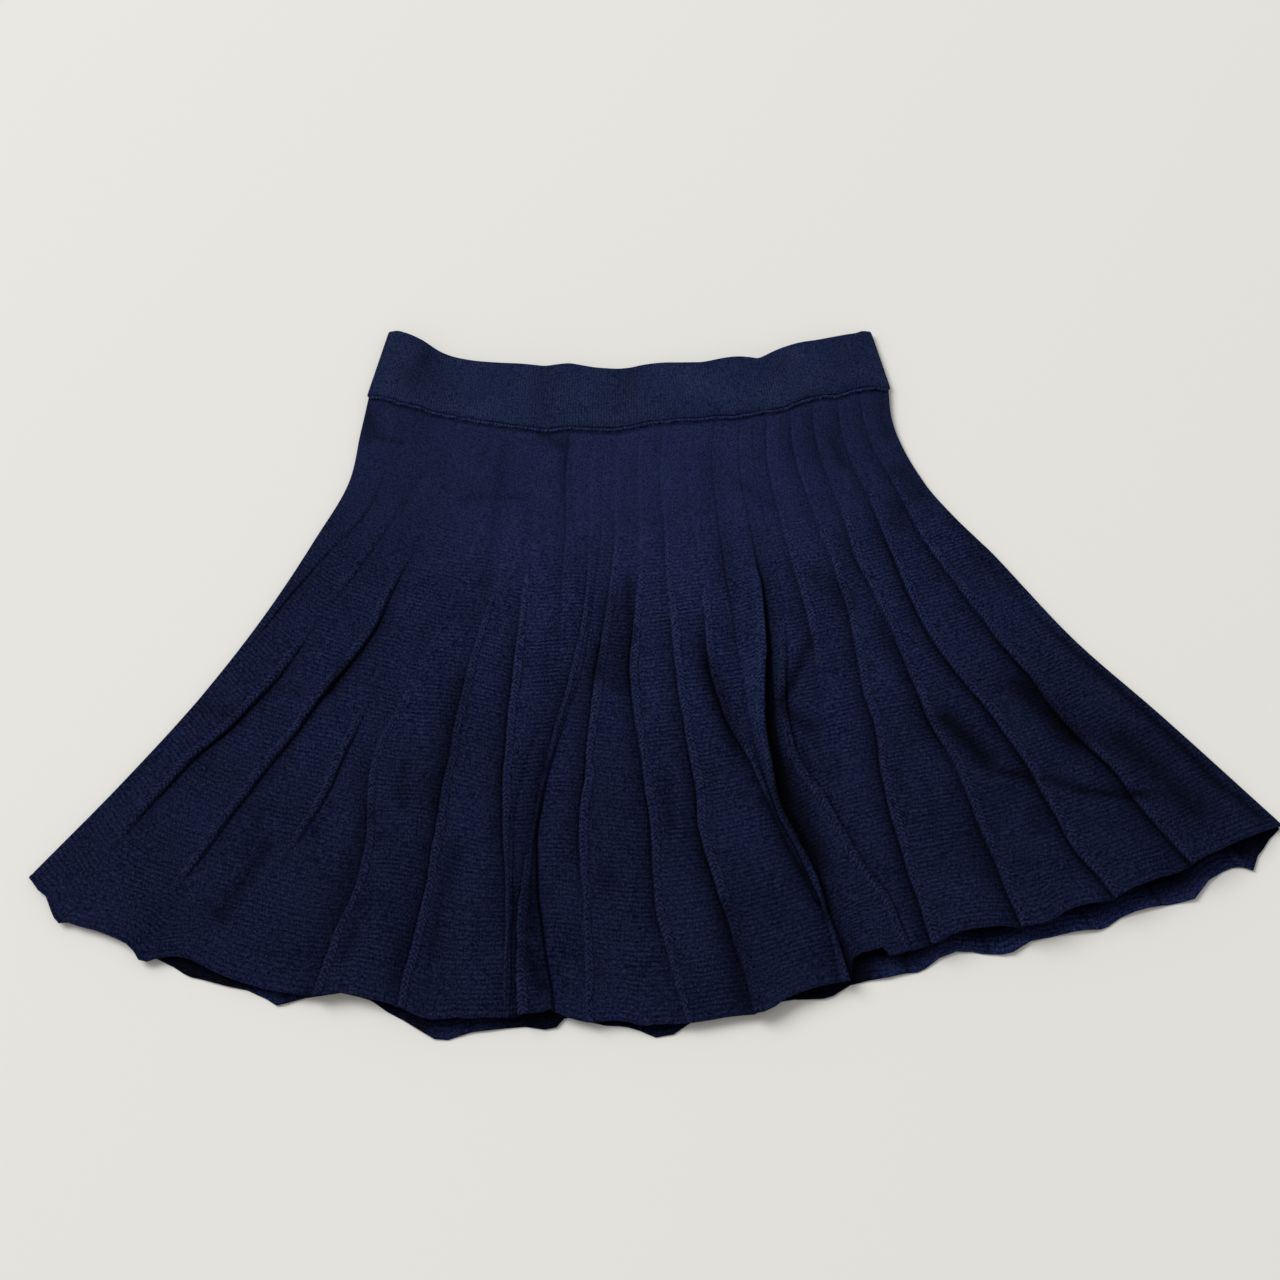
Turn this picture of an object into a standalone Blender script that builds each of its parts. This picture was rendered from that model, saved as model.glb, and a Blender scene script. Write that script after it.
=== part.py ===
"""Knit mini skirt laid flat: a soft waistband and a flared body of narrow knitted pleats.

The skirt lies on its back panel. X runs across it, Y from the hem to the waist and Z up from the
surface it lies on, in metres. A panel is a sheet of two shares: "across" runs from its left edge
to its right edge, and "down" from the waist seam to the hem.
"""

import bpy
import numpy as np

MM = 0.001
CM = 0.01

# Where the middle of the waist seam lies, so that the origin is under the middle of the skirt
SEAM_MIDDLE = np.array((-1.95, 16.58)) * CM

# Walls and the gaps between pieces
PANEL_WALL = 1.2 * MM
BAND_WALL = 2.4 * MM
LAYER_GAP = 0.3 * MM
SEAM_GAP = 0.4 * MM

# Outlines as (x, y) in centimetres from the middle of the waist seam
BAND_EDGE = (
    (-16.4, 7.8), (-15.5, 7.7), (-14.3, 7.1), (-12.9, 6.1), (-10.8, 5.5), (-8.8, 5.2), (-6.0, 5.1),
    (-4.5, 5.2), (-2.6, 5.0), (-0.6, 4.8), (1.5, 5.0), (4.9, 5.3), (8.8, 5.7), (10.1, 6.3),
    (11.8, 6.9), (13.9, 7.3), (15.3, 7.7), (16.5, 7.8),
)
WAIST_SEAM = (
    (-17.6, 2.8), (-15.5, 2.2), (-12.7, 1.3), (-8.6, 0.4), (-5.9, 0.0), (-3.2, 0.0), (-0.5, 0.0),
    (4.8, 0.6), (8.9, 1.5), (11.6, 2.3), (14.4, 2.9), (17.6, 3.4),
)
LEFT_SIDE = (
    (-17.6, 2.8), (-18.0, 0.0), (-18.5, -3.7), (-20.5, -8.2), (-23.5, -14.0), (-27.0, -19.6),
    (-31.0, -25.0), (-36.1, -31.3),
)
RIGHT_SIDE = (
    (17.6, 3.4), (17.7, 1.1), (19.5, -3.7), (24.1, -9.7), (28.4, -15.4), (33.3, -20.6),
    (40.0, -28.0),
)
HEM = (
    (-36.1, -31.3), (-34.0, -34.0), (-28.6, -36.4), (-25.1, -37.3), (-20.4, -38.5), (-16.3, -38.6),
    (-10.9, -40.0), (-4.6, -39.8), (-1.5, -40.3), (2.0, -40.5), (8.4, -39.4), (12.5, -38.0),
    (16.2, -36.4), (21.3, -35.1), (25.8, -34.2), (30.3, -32.7), (34.3, -31.0), (40.0, -28.0),
)

# How far each hem dips below the hem line: share across, front dip and back dip in millimetres
HEM_DIPS = np.array((
    (0.000, 0, 0), (0.025, -2, -5), (0.050, -1, -4), (0.075, -4, -8), (0.100, -3, -7),
    (0.125, -1, -1), (0.150, -2, 2), (0.175, 0, 2), (0.200, 0, 2), (0.225, 1, 3), (0.250, 2, 0),
    (0.275, 0, 0), (0.300, 1, 4), (0.325, 2, 9), (0.350, 1, 9), (0.375, 2, 6), (0.400, 1, 5),
    (0.425, 0, 4), (0.450, 1, -1), (0.475, 1, -2), (0.500, 0, 2), (0.525, 1, -1), (0.550, 1, -2),
    (0.575, -1, -1), (0.600, -1, -4), (0.625, -1, 0), (0.650, 0, 1), (0.675, -9, 4),
    (0.700, 1, 10), (0.725, -1, 7), (0.750, -2, 6), (0.775, 0, 10), (0.800, 3, 7),
    (0.825, -1, 6), (0.850, -1, 9), (0.875, -1, 8), (0.900, -2, 11), (0.925, -3, 15),
    (0.950, -2, 8), (0.975, -1, 10), (1.000, 0, 0),
))
HEM_DIP_FROM = 0.86

# Share across of each crease at these shares down
CREASE_LEVELS = (0.0, 0.21, 0.415, 0.615, 0.81, 1.0)
CREASES = {
    "a": (0.080, 0.043, 0.012, 0.010, 0.010, 0.010),
    "b": (0.122, 0.093, 0.059, 0.038, 0.035, 0.040),
    "c": (0.168, 0.150, 0.121, 0.102, 0.101, 0.108),
    "d": (0.212, 0.193, 0.176, 0.172, 0.170, 0.165),
    "e": (0.258, 0.234, 0.214, 0.200, 0.226, 0.243),
    "f": (0.302, 0.287, 0.274, 0.284, 0.300, 0.308),
    "g": (0.347, 0.328, 0.332, 0.347, 0.371, 0.386),
    "h": (0.392, 0.386, 0.388, 0.364, 0.377, 0.392),
    "i": (0.440, 0.422, 0.402, 0.380, 0.383, 0.398),
    "i_low": (0.462, 0.443, 0.420, 0.393, 0.402, 0.424),
    "j": (0.483, 0.465, 0.438, 0.431, 0.437, 0.447),
    "k": (0.524, 0.507, 0.485, 0.495, 0.502, 0.518),
    "l": (0.568, 0.549, 0.539, 0.548, 0.562, 0.575),
    "m": (0.614, 0.601, 0.588, 0.613, 0.633, 0.651),
    "n": (0.662, 0.642, 0.631, 0.628, 0.642, 0.660),
    "o": (0.708, 0.694, 0.667, 0.642, 0.652, 0.668),
    "o_low": (0.735, 0.722, 0.694, 0.672, 0.690, 0.704),
    "p": (0.760, 0.745, 0.720, 0.705, 0.711, 0.713),
    "q": (0.806, 0.802, 0.775, 0.745, 0.730, 0.722),
    "r": (0.852, 0.849, 0.830, 0.808, 0.798, 0.786),
    "s": (0.900, 0.901, 0.877, 0.869, 0.863, 0.857),
    "t": (0.945, 0.950, 0.936, 0.928, 0.929, 0.920),
    "u": (0.982, 0.988, 0.990, 0.990, 0.992, 0.990),
}

# Height of each rib over its crease in millimetres: at the hips, at mid length and at the hem
RIBS_LEFT_OF = {
    "a": (0.9, 0.0, 0.0),
    "b": (1.2, 2.2, 1.8),
    "c": (1.0, 2.6, 2.0),
    "d": (0.8, 1.8, 1.6),
    "i_low": (0.0, 1.5, 3.0),
    "o": (0.0, 7.0, 2.0),
    "o_low": (0.0, 4.0, 2.0),
}
RIBS_RIGHT_OF = {
    "e": (0.8, 1.5, 3.0),
    "f": (0.9, 2.4, 2.8),
    "g": (1.0, 2.4, 1.0),
    "h": (0.9, 0.0, 0.0),
    "i": (1.0, 3.0, 4.0),
    "j": (1.2, 3.0, 2.0),
    "k": (1.0, 2.4, 1.8),
    "l": (1.0, 2.6, 4.0),
    "m": (0.9, 3.5, 4.0),
    "n": (0.9, 0.0, 0.0),
    "o": (1.6, 0.0, 0.0),
    "p": (1.4, 0.4, 0.0),
    "q": (1.0, 2.6, 2.6),
    "r": (1.2, 3.2, 3.0),
    "s": (1.2, 2.6, 2.8),
    "t": (1.3, 3.0, 3.0),
    "u": (0.5, 1.5, 1.5),
}
RIB_LEVELS = (0.0, 0.06, 0.21, 0.615, 1.0)
RIB_FOOT = 1.2 * MM
RIB_CREST = 2.8 * MM
RIB_FAR_EDGE = 4.8 * MM
RIB_RELIEF = 0.7 * MM
RIB_RELIEF_BEGINS = 0.02
RIB_RELIEF_IS_FULL = 0.12
SHARE_OF_HIP_RIB_NEAR_SEAM = 0.5
RIB_SHARE_OF_SPAN = 0.6
PANEL_MID_SHARE = 0.55
FALL_POWER = 1.3
MOST_WALL_STRETCH = 2.2

# The front is divided into gores at creases, each named with the crease that it ends at
FRONT_GORES = (
    ("skirt_front_left", "g"), ("skirt_front_middle", "o"), ("skirt_front_right", "t"),
    ("skirt_front_edge", None),
)
GORE_GAP = 0.3 * MM
COLUMNS_PER_SPAN = 5

# How far the front lies above the back in millimetres: share across, at the seam, hips and hem
FRONT_LIFT = np.array((
    (0.00, 0.0, 0.0, 0.0), (0.05, 3.5, 0.4, 1.2), (0.14, 2.5, 0.8, 2.0), (0.33, 6.5, 1.0, 3.5),
    (0.50, 3.0, 1.2, 2.5), (0.69, 7.4, 1.2, 5.5), (0.80, 5.6, 1.0, 8.8), (0.88, 4.0, 1.0, 9.5),
    (0.95, 4.0, 0.5, 7.5), (1.00, 0.0, 0.0, 0.0),
))
SEAM_LIFT_ENDS = 0.16
HEM_LIFT_FROM = 0.60

# The back hem ripples where the front hem stands clear of it
BACK_RIPPLES = 20
BACK_RIPPLE_SHARE = 0.25
BACK_RIPPLE_FROM = 0.90

# The linked roll along the waist seam
ROLL_RADIUS = 1.0 * MM
ROLL_BELOW_SEAM = 1.4 * MM
ROLL_SEGMENTS = 72
ROLL_SIDES = 6

# How finely each outline and piece is divided
OUTLINE_SAMPLES = 600
FRONT_ROWS = 20
BACK_COLUMNS = 40
BACK_ROWS = (0.0, 0.05, 0.11, 0.17, 0.24, 0.34, 0.48, 0.62, 0.76, 0.87, 0.94, 1.0)
BAND_COLUMNS = 60
BAND_ROWS = (0.0, 0.3, 0.7, 1.0)

NAVY_KNIT = (0.0085, 0.0105, 0.042)
NAVY_BAND = (0.0110, 0.0150, 0.058)
KNIT_ROUGHNESS = 0.9
SMOOTH_UP_TO = np.radians(50.0)


def smooth_step(low, high, x):
    """0 below low, 1 above high, and the cubic 3t^2 - 2t^3 between them."""
    t = np.clip((np.asarray(x) - low) / (high - low), 0.0, 1.0)
    return t * t * (3.0 - 2.0 * t)


def through(knots, values, x):
    """A smooth curve through values at the knots: cubic pieces whose slopes are central differences."""
    knots = np.asarray(knots, float)
    values = np.asarray(values, float)
    slopes = np.gradient(values, knots)
    i = np.clip(np.searchsorted(knots, x, side="right") - 1, 0, len(knots) - 2)
    step = knots[i + 1] - knots[i]
    t = np.clip((x - knots[i]) / step, 0.0, 1.0)
    rise = values[i + 1] - values[i]
    bend_in = slopes[i] * step - rise
    bend_out = rise - slopes[i + 1] * step
    return values[i] + t * rise + t * (1.0 - t) * ((1.0 - t) * bend_in + t * bend_out)


def outline(points, shares):
    """Points at these shares of the length of a smooth curve through the outline's points."""
    points = SEAM_MIDDLE + np.array(points) * CM
    chord = np.concatenate([[0.0], np.cumsum(np.hypot(*np.diff(points, axis=0).T))])
    fine = np.linspace(0.0, chord[-1], OUTLINE_SAMPLES)
    curve = np.stack([through(chord, points[:, axis], fine) for axis in (0, 1)], axis=-1)
    length = np.concatenate([[0.0], np.cumsum(np.hypot(*np.diff(curve, axis=0).T))])
    wanted = np.asarray(shares) * length[-1]
    return np.stack([np.interp(wanted, length, curve[:, axis]) for axis in (0, 1)], axis=-1)


def panel_plan(across, down, dips):
    """Where a skirt panel's points lie from above.

    The four outlines are blended: seam and hem by the share down, the two sides by the share
    across, less the blend of the four corners. Near the hem the points also dip towards -Y.
    """
    ends = np.array((0.0, 1.0))
    seam = outline(WAIST_SEAM, across)
    hem = outline(HEM, across)
    left = outline(LEFT_SIDE, down)
    right = outline(RIGHT_SIDE, down)
    seam_ends = outline(WAIST_SEAM, ends)
    hem_ends = outline(HEM, ends)
    a = across[..., None]
    d = down[..., None]
    corners = (1 - d) * ((1 - a) * seam_ends[0] + a * seam_ends[1])
    corners = corners + d * ((1 - a) * hem_ends[0] + a * hem_ends[1])
    plan = (1 - d) * seam + d * hem + (1 - a) * left + a * right - corners
    dip = np.interp(across, HEM_DIPS[:, 0], dips) * MM
    plan[..., 1] -= dip * smooth_step(HEM_DIP_FROM, 1.0, down)
    return plan


def front_lift(across, down):
    """Height of the front panel's lowest cloth over the back panel, above the gap between them."""
    shares = FRONT_LIFT[:, 0]
    at_seam, at_hips, at_hem = (through(shares, FRONT_LIFT[:, k], across) * MM for k in (1, 2, 3))
    near_seam = 1.0 - smooth_step(0.0, SEAM_LIFT_ENDS, down)
    near_hem = smooth_step(HEM_LIFT_FROM, 1.0, down)
    step_up = BAND_WALL - PANEL_WALL
    lift = at_hips + (at_seam + step_up - at_hips) * near_seam + (at_hem - at_hips) * near_hem
    return np.maximum(lift, 0.0)


def crease_rows(down):
    """Shares across of every crease, with both panel edges, in each row."""
    inner = [through(CREASE_LEVELS, places, down) for places in CREASES.values()]
    return np.stack([np.zeros_like(down), *inner, np.ones_like(down)], axis=-1)


def rib_rows(heights, down):
    """Heights of the ribs beside each crease and panel edge in each row, in metres."""
    rows = [np.zeros_like(down)]
    for name in CREASES:
        hips, middle, hem = heights.get(name, (0.0, 0.0, 0.0))
        near_seam = SHARE_OF_HIP_RIB_NEAR_SEAM * hips
        rows.append(through(RIB_LEVELS, (0.0, near_seam, hips, middle, hem), down) * MM)
    rows.append(np.zeros_like(down))
    return np.maximum(np.stack(rows, axis=-1), 0.0)


def front_grid():
    """The front panel's rows, as shares across and down, pleat heights and rib relief.

    Each span between two creases has five columns: its crease, then the foot, crest and far edge
    of the rib beside it, and the middle of the plain knit. Where the rib lies left of the next
    crease the same columns are counted from that crease.
    """
    down = np.linspace(0.0, 1.0, FRONT_ROWS + 1)
    creases = crease_rows(down)
    beside_left = rib_rows(RIBS_LEFT_OF, down)
    beside_right = rib_rows(RIBS_RIGHT_OF, down)
    width = np.hypot(*(outline(RIGHT_SIDE, down) - outline(LEFT_SIDE, down)).T)
    relief_share = smooth_step(RIB_RELIEF_BEGINS, RIB_RELIEF_IS_FULL, down)
    across, height, relief = [], [], []
    for i in range(creases.shape[1] - 1):
        low, high = creases[:, i], creases[:, i + 1]
        span = (high - low) * width
        rib_from_low = beside_right[:, i].max() >= beside_left[:, i + 1].max()
        reach = np.minimum(RIB_FAR_EDGE, RIB_SHARE_OF_SPAN * span) / RIB_FAR_EDGE
        foot, crest, far = (size * reach / span for size in (RIB_FOOT, RIB_CREST, RIB_FAR_EDGE))
        middle = far + PANEL_MID_SHARE * (1.0 - far)
        places = [np.zeros_like(far), foot, crest, far, middle]
        if not rib_from_low:
            places = [np.zeros_like(far), 1.0 - middle, 1.0 - far, 1.0 - crest, 1.0 - foot]
        for place in places:
            from_low = smooth_step(0.0, 1.0, place / np.maximum(foot, 1e-9))
            from_high = smooth_step(0.0, 1.0, (1.0 - place) / np.maximum(foot, 1e-9))
            fall = (1.0 - place) ** FALL_POWER
            climb = place ** FALL_POWER
            rib_low = beside_right[:, i] * from_low * fall
            rib_high = beside_left[:, i + 1] * from_high * climb
            across.append(low + place * (high - low))
            height.append(np.maximum(rib_low, rib_high))
            on_crest = np.isclose(place, crest if rib_from_low else 1.0 - crest)
            relief.append(RIB_RELIEF * on_crest * relief_share)
    across.append(np.ones_like(down))
    height.append(np.zeros_like(down))
    relief.append(np.zeros_like(down))
    shape = (len(down), len(across))
    across, height, relief = (np.stack(rows, axis=-1) for rows in (across, height, relief))
    return across, np.broadcast_to(down[:, None], shape), height, relief


def slope_stretch(plan, height):
    """How much taller a sloping wall must be drawn to keep its thickness: 1 over the cosine."""
    run = np.hypot(*(np.roll(plan, -1, axis=1) - np.roll(plan, 1, axis=1)).transpose(2, 0, 1))
    rise = np.roll(height, -1, axis=1) - np.roll(height, 1, axis=1)
    stretch = np.sqrt(1.0 + (rise / np.maximum(run, 1e-6)) ** 2)
    stretch[:, [0, -1]] = 1.0
    return np.clip(stretch, 1.0, MOST_WALL_STRETCH)


def knit_material(name, colour):
    material = bpy.data.materials.new(name)
    material.use_nodes = True
    shader = material.node_tree.nodes["Principled BSDF"]
    shader.inputs["Base Color"].default_value = (*colour, 1.0)
    shader.inputs["Roughness"].default_value = KNIT_ROUGHNESS
    shader.inputs["Metallic"].default_value = 0.0
    return material


def add_object(name, points, faces, material):
    mesh = bpy.data.meshes.new(name)
    mesh.from_pydata(points.reshape(-1, 3).tolist(), [], faces)
    mesh.materials.append(material)
    mesh.shade_smooth()
    mesh.set_sharp_from_angle(angle=SMOOTH_UP_TO)
    new = bpy.data.objects.new(name, mesh)
    bpy.context.scene.collection.objects.link(new)
    return new


def add_wall(name, plan, under, over, material):
    """A closed wall of cloth between two height fields over one grid of plan points.

    Rows run from the waist to the hem and columns from left to right.
    """
    rows, columns = under.shape
    top = np.concatenate([plan, over[..., None]], axis=-1)
    bottom = np.concatenate([plan, under[..., None]], axis=-1)
    index = np.arange(rows * columns).reshape(rows, columns)
    a, b, c, d = index[:-1, :-1], index[1:, :-1], index[1:, 1:], index[:-1, 1:]
    top_faces = np.stack([a, b, c, d], axis=-1).reshape(-1, 4)
    bottom_faces = top_faces[:, ::-1] + rows * columns
    around = np.concatenate([index[:, 0], index[-1, 1:], index[-2::-1, -1], index[0, -2:0:-1]])
    after = np.roll(around, -1)
    rim = np.stack([around, around + rows * columns, after + rows * columns, after], axis=-1)
    faces = np.concatenate([top_faces, bottom_faces, rim]).tolist()
    return add_object(name, np.stack([top, bottom]), faces, material)


def build_front(material):
    """The front panel, one wall for each gore, with a narrow gap in the crease between two."""
    across, down, height, relief = front_grid()
    plan = panel_plan(across, down, HEM_DIPS[:, 1])
    under = PANEL_WALL + LAYER_GAP + front_lift(across, down) + height
    over = under + PANEL_WALL * slope_stretch(plan, height) + relief
    names = list(CREASES)
    first = 0
    for gore, crease in FRONT_GORES:
        last = across.shape[1] - 1
        if crease:
            last = COLUMNS_PER_SPAN * (names.index(crease) + 1)
        columns = slice(first, last + 1)
        gore_plan = plan[:, columns].copy()
        if first:
            gore_plan[:, 0, 0] += 0.5 * GORE_GAP
        if crease:
            gore_plan[:, -1, 0] -= 0.5 * GORE_GAP
        add_wall(gore, gore_plan, under[:, columns], over[:, columns], material)
        first = last


def back_ripple(across, down):
    """Height of the back hem's ripples: rounded waves that grow with the front hem's lift."""
    lift = np.maximum(through(FRONT_LIFT[:, 0], FRONT_LIFT[:, 3], across), 0.0) * MM
    wave = 0.5 - 0.5 * np.cos(2.0 * np.pi * BACK_RIPPLES * across)
    return BACK_RIPPLE_SHARE * lift * wave * smooth_step(BACK_RIPPLE_FROM, 1.0, down)


def build_back(material):
    across, down = np.meshgrid(np.linspace(0.0, 1.0, BACK_COLUMNS + 1), BACK_ROWS)
    plan = panel_plan(across, down, HEM_DIPS[:, 2])
    under = back_ripple(across, down)
    add_wall("skirt_back", plan, under, under + PANEL_WALL, material)


def band_plan(across, up):
    """Points of the waistband from above, from just over the waist seam to its folded top edge."""
    seam = outline(WAIST_SEAM, across)
    edge = outline(BAND_EDGE, across)
    height = np.linalg.norm(edge - seam, axis=-1)
    share = (SEAM_GAP + up * (height - SEAM_GAP)) / height
    return seam + share[..., None] * (edge - seam)


def build_bands(material):
    across, up = np.meshgrid(np.linspace(0.0, 1.0, BAND_COLUMNS + 1), BAND_ROWS[::-1])
    plan = band_plan(across, up)
    flat = np.zeros_like(across)
    add_wall("waistband_back", plan, flat, flat + BAND_WALL, material)
    lift = np.maximum(through(FRONT_LIFT[:, 0], FRONT_LIFT[:, 1], across), 0.0) * MM
    under = BAND_WALL + LAYER_GAP + lift
    add_wall("waistband_front", plan, under, under + BAND_WALL, material)


def build_roll(material):
    """The linked roll: a thin tube that follows the waist seam, just above the front panel."""
    across = np.linspace(0.0, 1.0, ROLL_SEGMENTS + 1)
    seam = outline(WAIST_SEAM, across)
    along = np.gradient(seam, axis=0)
    along /= np.linalg.norm(along, axis=-1, keepdims=True)
    towards_hem = np.stack([along[:, 1], -along[:, 0]], axis=-1)
    lift = front_lift(across, np.zeros_like(across))
    centre_z = 2.0 * PANEL_WALL + 2.0 * LAYER_GAP + lift + ROLL_RADIUS
    turn = 2.0 * np.pi * np.arange(ROLL_SIDES) / ROLL_SIDES
    out = ROLL_BELOW_SEAM + ROLL_RADIUS * np.cos(turn)
    plan = seam[:, None] + out[None, :, None] * towards_hem[:, None]
    z = centre_z[:, None] + ROLL_RADIUS * np.sin(turn)
    points = np.concatenate([plan, z[..., None]], axis=-1)
    index = np.arange(points.shape[0] * ROLL_SIDES).reshape(-1, ROLL_SIDES)
    beside = np.roll(index, -1, axis=1)
    sides = np.stack([index[:-1], index[1:], beside[1:], beside[:-1]], axis=-1).reshape(-1, 4)
    faces = [*sides.tolist(), index[0].tolist(), index[-1, ::-1].tolist()]
    add_object("waist_seam", points, faces, material)


def main():
    for old in list(bpy.data.objects):
        bpy.data.objects.remove(old)
    body_knit = knit_material("body_knit", NAVY_KNIT)
    band_knit = knit_material("band_knit", NAVY_BAND)
    build_back(body_knit)
    build_front(body_knit)
    build_bands(band_knit)
    build_roll(body_knit)


main()
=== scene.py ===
"""Knit mini skirt laid flat: the looks of the fine-gauge knit, its ribs, hem, waist seam and band.

The skirt lies on its back panel. X runs across it, Y from the hem to the waist and Z up from the
surface it lies on, in metres. A panel is a sheet of two shares: "across" runs from its left edge
to its right edge, and "down" from the waist seam to the hem.
"""

from functools import reduce

import bpy
import numpy as np
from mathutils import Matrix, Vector


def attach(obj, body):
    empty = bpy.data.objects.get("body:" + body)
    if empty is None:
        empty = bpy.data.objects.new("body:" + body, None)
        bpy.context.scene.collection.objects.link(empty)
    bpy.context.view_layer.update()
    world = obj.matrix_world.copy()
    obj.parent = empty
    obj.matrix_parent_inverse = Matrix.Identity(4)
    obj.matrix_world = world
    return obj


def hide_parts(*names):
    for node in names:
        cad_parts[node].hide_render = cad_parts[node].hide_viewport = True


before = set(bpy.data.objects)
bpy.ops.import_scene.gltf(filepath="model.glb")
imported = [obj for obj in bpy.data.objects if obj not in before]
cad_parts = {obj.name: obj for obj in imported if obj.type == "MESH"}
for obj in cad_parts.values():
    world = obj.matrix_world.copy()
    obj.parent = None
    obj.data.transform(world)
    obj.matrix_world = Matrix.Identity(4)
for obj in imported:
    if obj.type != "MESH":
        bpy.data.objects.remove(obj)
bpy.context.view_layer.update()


# Camera: it looks down at the laid skirt from the hem side, 65 degrees above the surface.
CAMERA_TARGET = Vector((-0.012, 0.0128, 0.0))
CAMERA_DISTANCE = 1.2
CAMERA_ELEVATION = np.radians(65.0)
CAMERA_LENS_MM = 52.65
CAMERA_SENSOR_MM = 36.0


def add_object(name, data):
    """A new object with this data, linked into the scene."""
    made = bpy.data.objects.new(name, data)
    bpy.context.scene.collection.objects.link(made)
    return made


camera_data = bpy.data.cameras.new("camera")
camera_data.lens = CAMERA_LENS_MM
camera_data.sensor_width = CAMERA_SENSOR_MM
camera = add_object("camera", camera_data)
towards_camera = Vector((0.0, -np.cos(CAMERA_ELEVATION), np.sin(CAMERA_ELEVATION)))
camera.location = CAMERA_TARGET + CAMERA_DISTANCE * towards_camera
camera.rotation_mode = "QUATERNION"
camera.rotation_quaternion = (-towards_camera).to_track_quat("-Z", "Y")
bpy.context.scene.camera = camera


# Back panel: one piece of fine navy knit, about a millimetre thick, that widens towards the hem.
# The skirt lies on it, so its ribs are pressed flat and only grooves break its underside. Its
# finished hem edge shows past the front hem.
MM = 0.001
CM = 0.01
TURN = 2.0 * np.pi
SEAM_MIDDLE = np.array((-1.95, 16.58)) * CM
WAIST_SEAM = (
    (-17.6, 2.80), (-16.5, 2.52), (-15.9, 2.28), (-15.4, 2.03), (-15.0, 1.94), (-14.1, 1.74),
    (-13.2, 1.36), (-12.3, 1.18), (-11.4, 0.91), (-10.6, 0.76), (-9.7, 0.50), (-8.8, 0.34),
    (-7.9, 0.13), (-7.0, -0.02), (-6.2, -0.16), (-5.6, -0.27), (-5.1, -0.20), (-4.4, -0.06),
    (-3.2, 0.00), (-1.8, -0.02), (-0.9, 0.04), (0.0, 0.18), (0.9, 0.42), (1.8, 0.54), (2.6, 0.60),
    (3.5, 0.64), (4.4, 0.61), (5.3, 0.66), (6.2, 0.75), (7.0, 0.73), (7.9, 0.90), (8.8, 1.16),
    (9.7, 1.29), (10.6, 1.56), (11.4, 1.98), (12.3, 2.35), (13.2, 2.55), (14.1, 2.60), (15.0, 2.90),
    (15.8, 3.15), (16.7, 3.34), (17.6, 3.40),
)
LEFT_SIDE = (
    (-17.6, 2.8), (-18.0, 0.0), (-18.5, -3.7), (-20.5, -8.2), (-23.5, -14.0), (-27.0, -19.6),
    (-31.0, -25.0), (-36.1, -31.3),
)
RIGHT_SIDE = (
    (17.6, 3.4), (17.7, 1.1), (19.5, -3.7), (24.1, -9.7), (28.4, -15.4), (33.3, -20.6),
    (40.0, -28.0),
)
HEM = (
    (-36.1, -31.3), (-34.0, -34.0), (-28.6, -36.4), (-25.1, -37.3), (-20.4, -38.5), (-16.3, -38.6),
    (-10.9, -40.0), (-4.6, -39.8), (-1.5, -40.3), (2.0, -40.5), (8.4, -39.4), (12.5, -38.0),
    (16.2, -36.4), (21.3, -35.1), (25.8, -34.2), (30.3, -32.7), (34.3, -31.0), (40.0, -28.0),
)

# How far each hem dips below the hem line: thousandths across and millimetres. The hem ends in
# small points where ribs meet it, and the front one steps up at the deepest fold.
FRONT_HEM_DIPS = np.array((
    (0, 0.0), (13, -1.0), (25, -4.8), (38, 0.5), (44, 0.8), (50, -3.3), (63, -5.7), (75, -7.7),
    (88, -7.6), (100, -7.0), (108, -3.0), (113, 1.5), (118, 1.0), (125, -2.6), (138, -6.8), (150, -7.7),
    (163, -5.1), (175, -3.1), (188, -2.4), (200, -2.2), (213, -1.7), (225, -1.5), (238, -0.3),
    (250, 0.8), (263, -0.8), (275, -0.9), (288, -0.2), (300, -1.5), (313, -0.7), (325, 1.1), (338, 1.2),
    (350, -1.9), (363, -0.5), (375, -1.1), (388, 0.5), (400, 0.0), (413, -1.4), (421, -3.7),
    (428, -2.4), (433, -1.0), (450, -0.2), (463, -3.0), (475, -3.7), (488, -1.2), (500, -2.8),
    (513, -2.1), (525, -1.8), (550, -1.8), (563, -0.7), (575, 0.9), (582, 1.6), (588, -2.8),
    (600, -3.8), (613, -4.1), (625, -3.4), (638, -1.4), (644, 0.0), (647, -13.0), (655, -13.6),
    (663, -11.9), (671, -11.0), (677, -2.8), (688, -2.8), (700, -2.4), (713, -2.4), (725, -5.4),
    (738, -6.0), (750, -5.0), (763, -3.9), (775, -0.8), (788, -0.3), (800, -1.2), (813, -5.5),
    (825, -5.5), (838, -3.6), (850, -2.4), (863, -4.9), (875, -4.9), (888, -4.8), (900, -3.0),
    (913, -3.5), (925, -5.6), (938, -4.6), (950, -4.6), (963, -3.9), (975, -2.8), (988, -1.9),
    (1000, 0.0),
))
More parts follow.
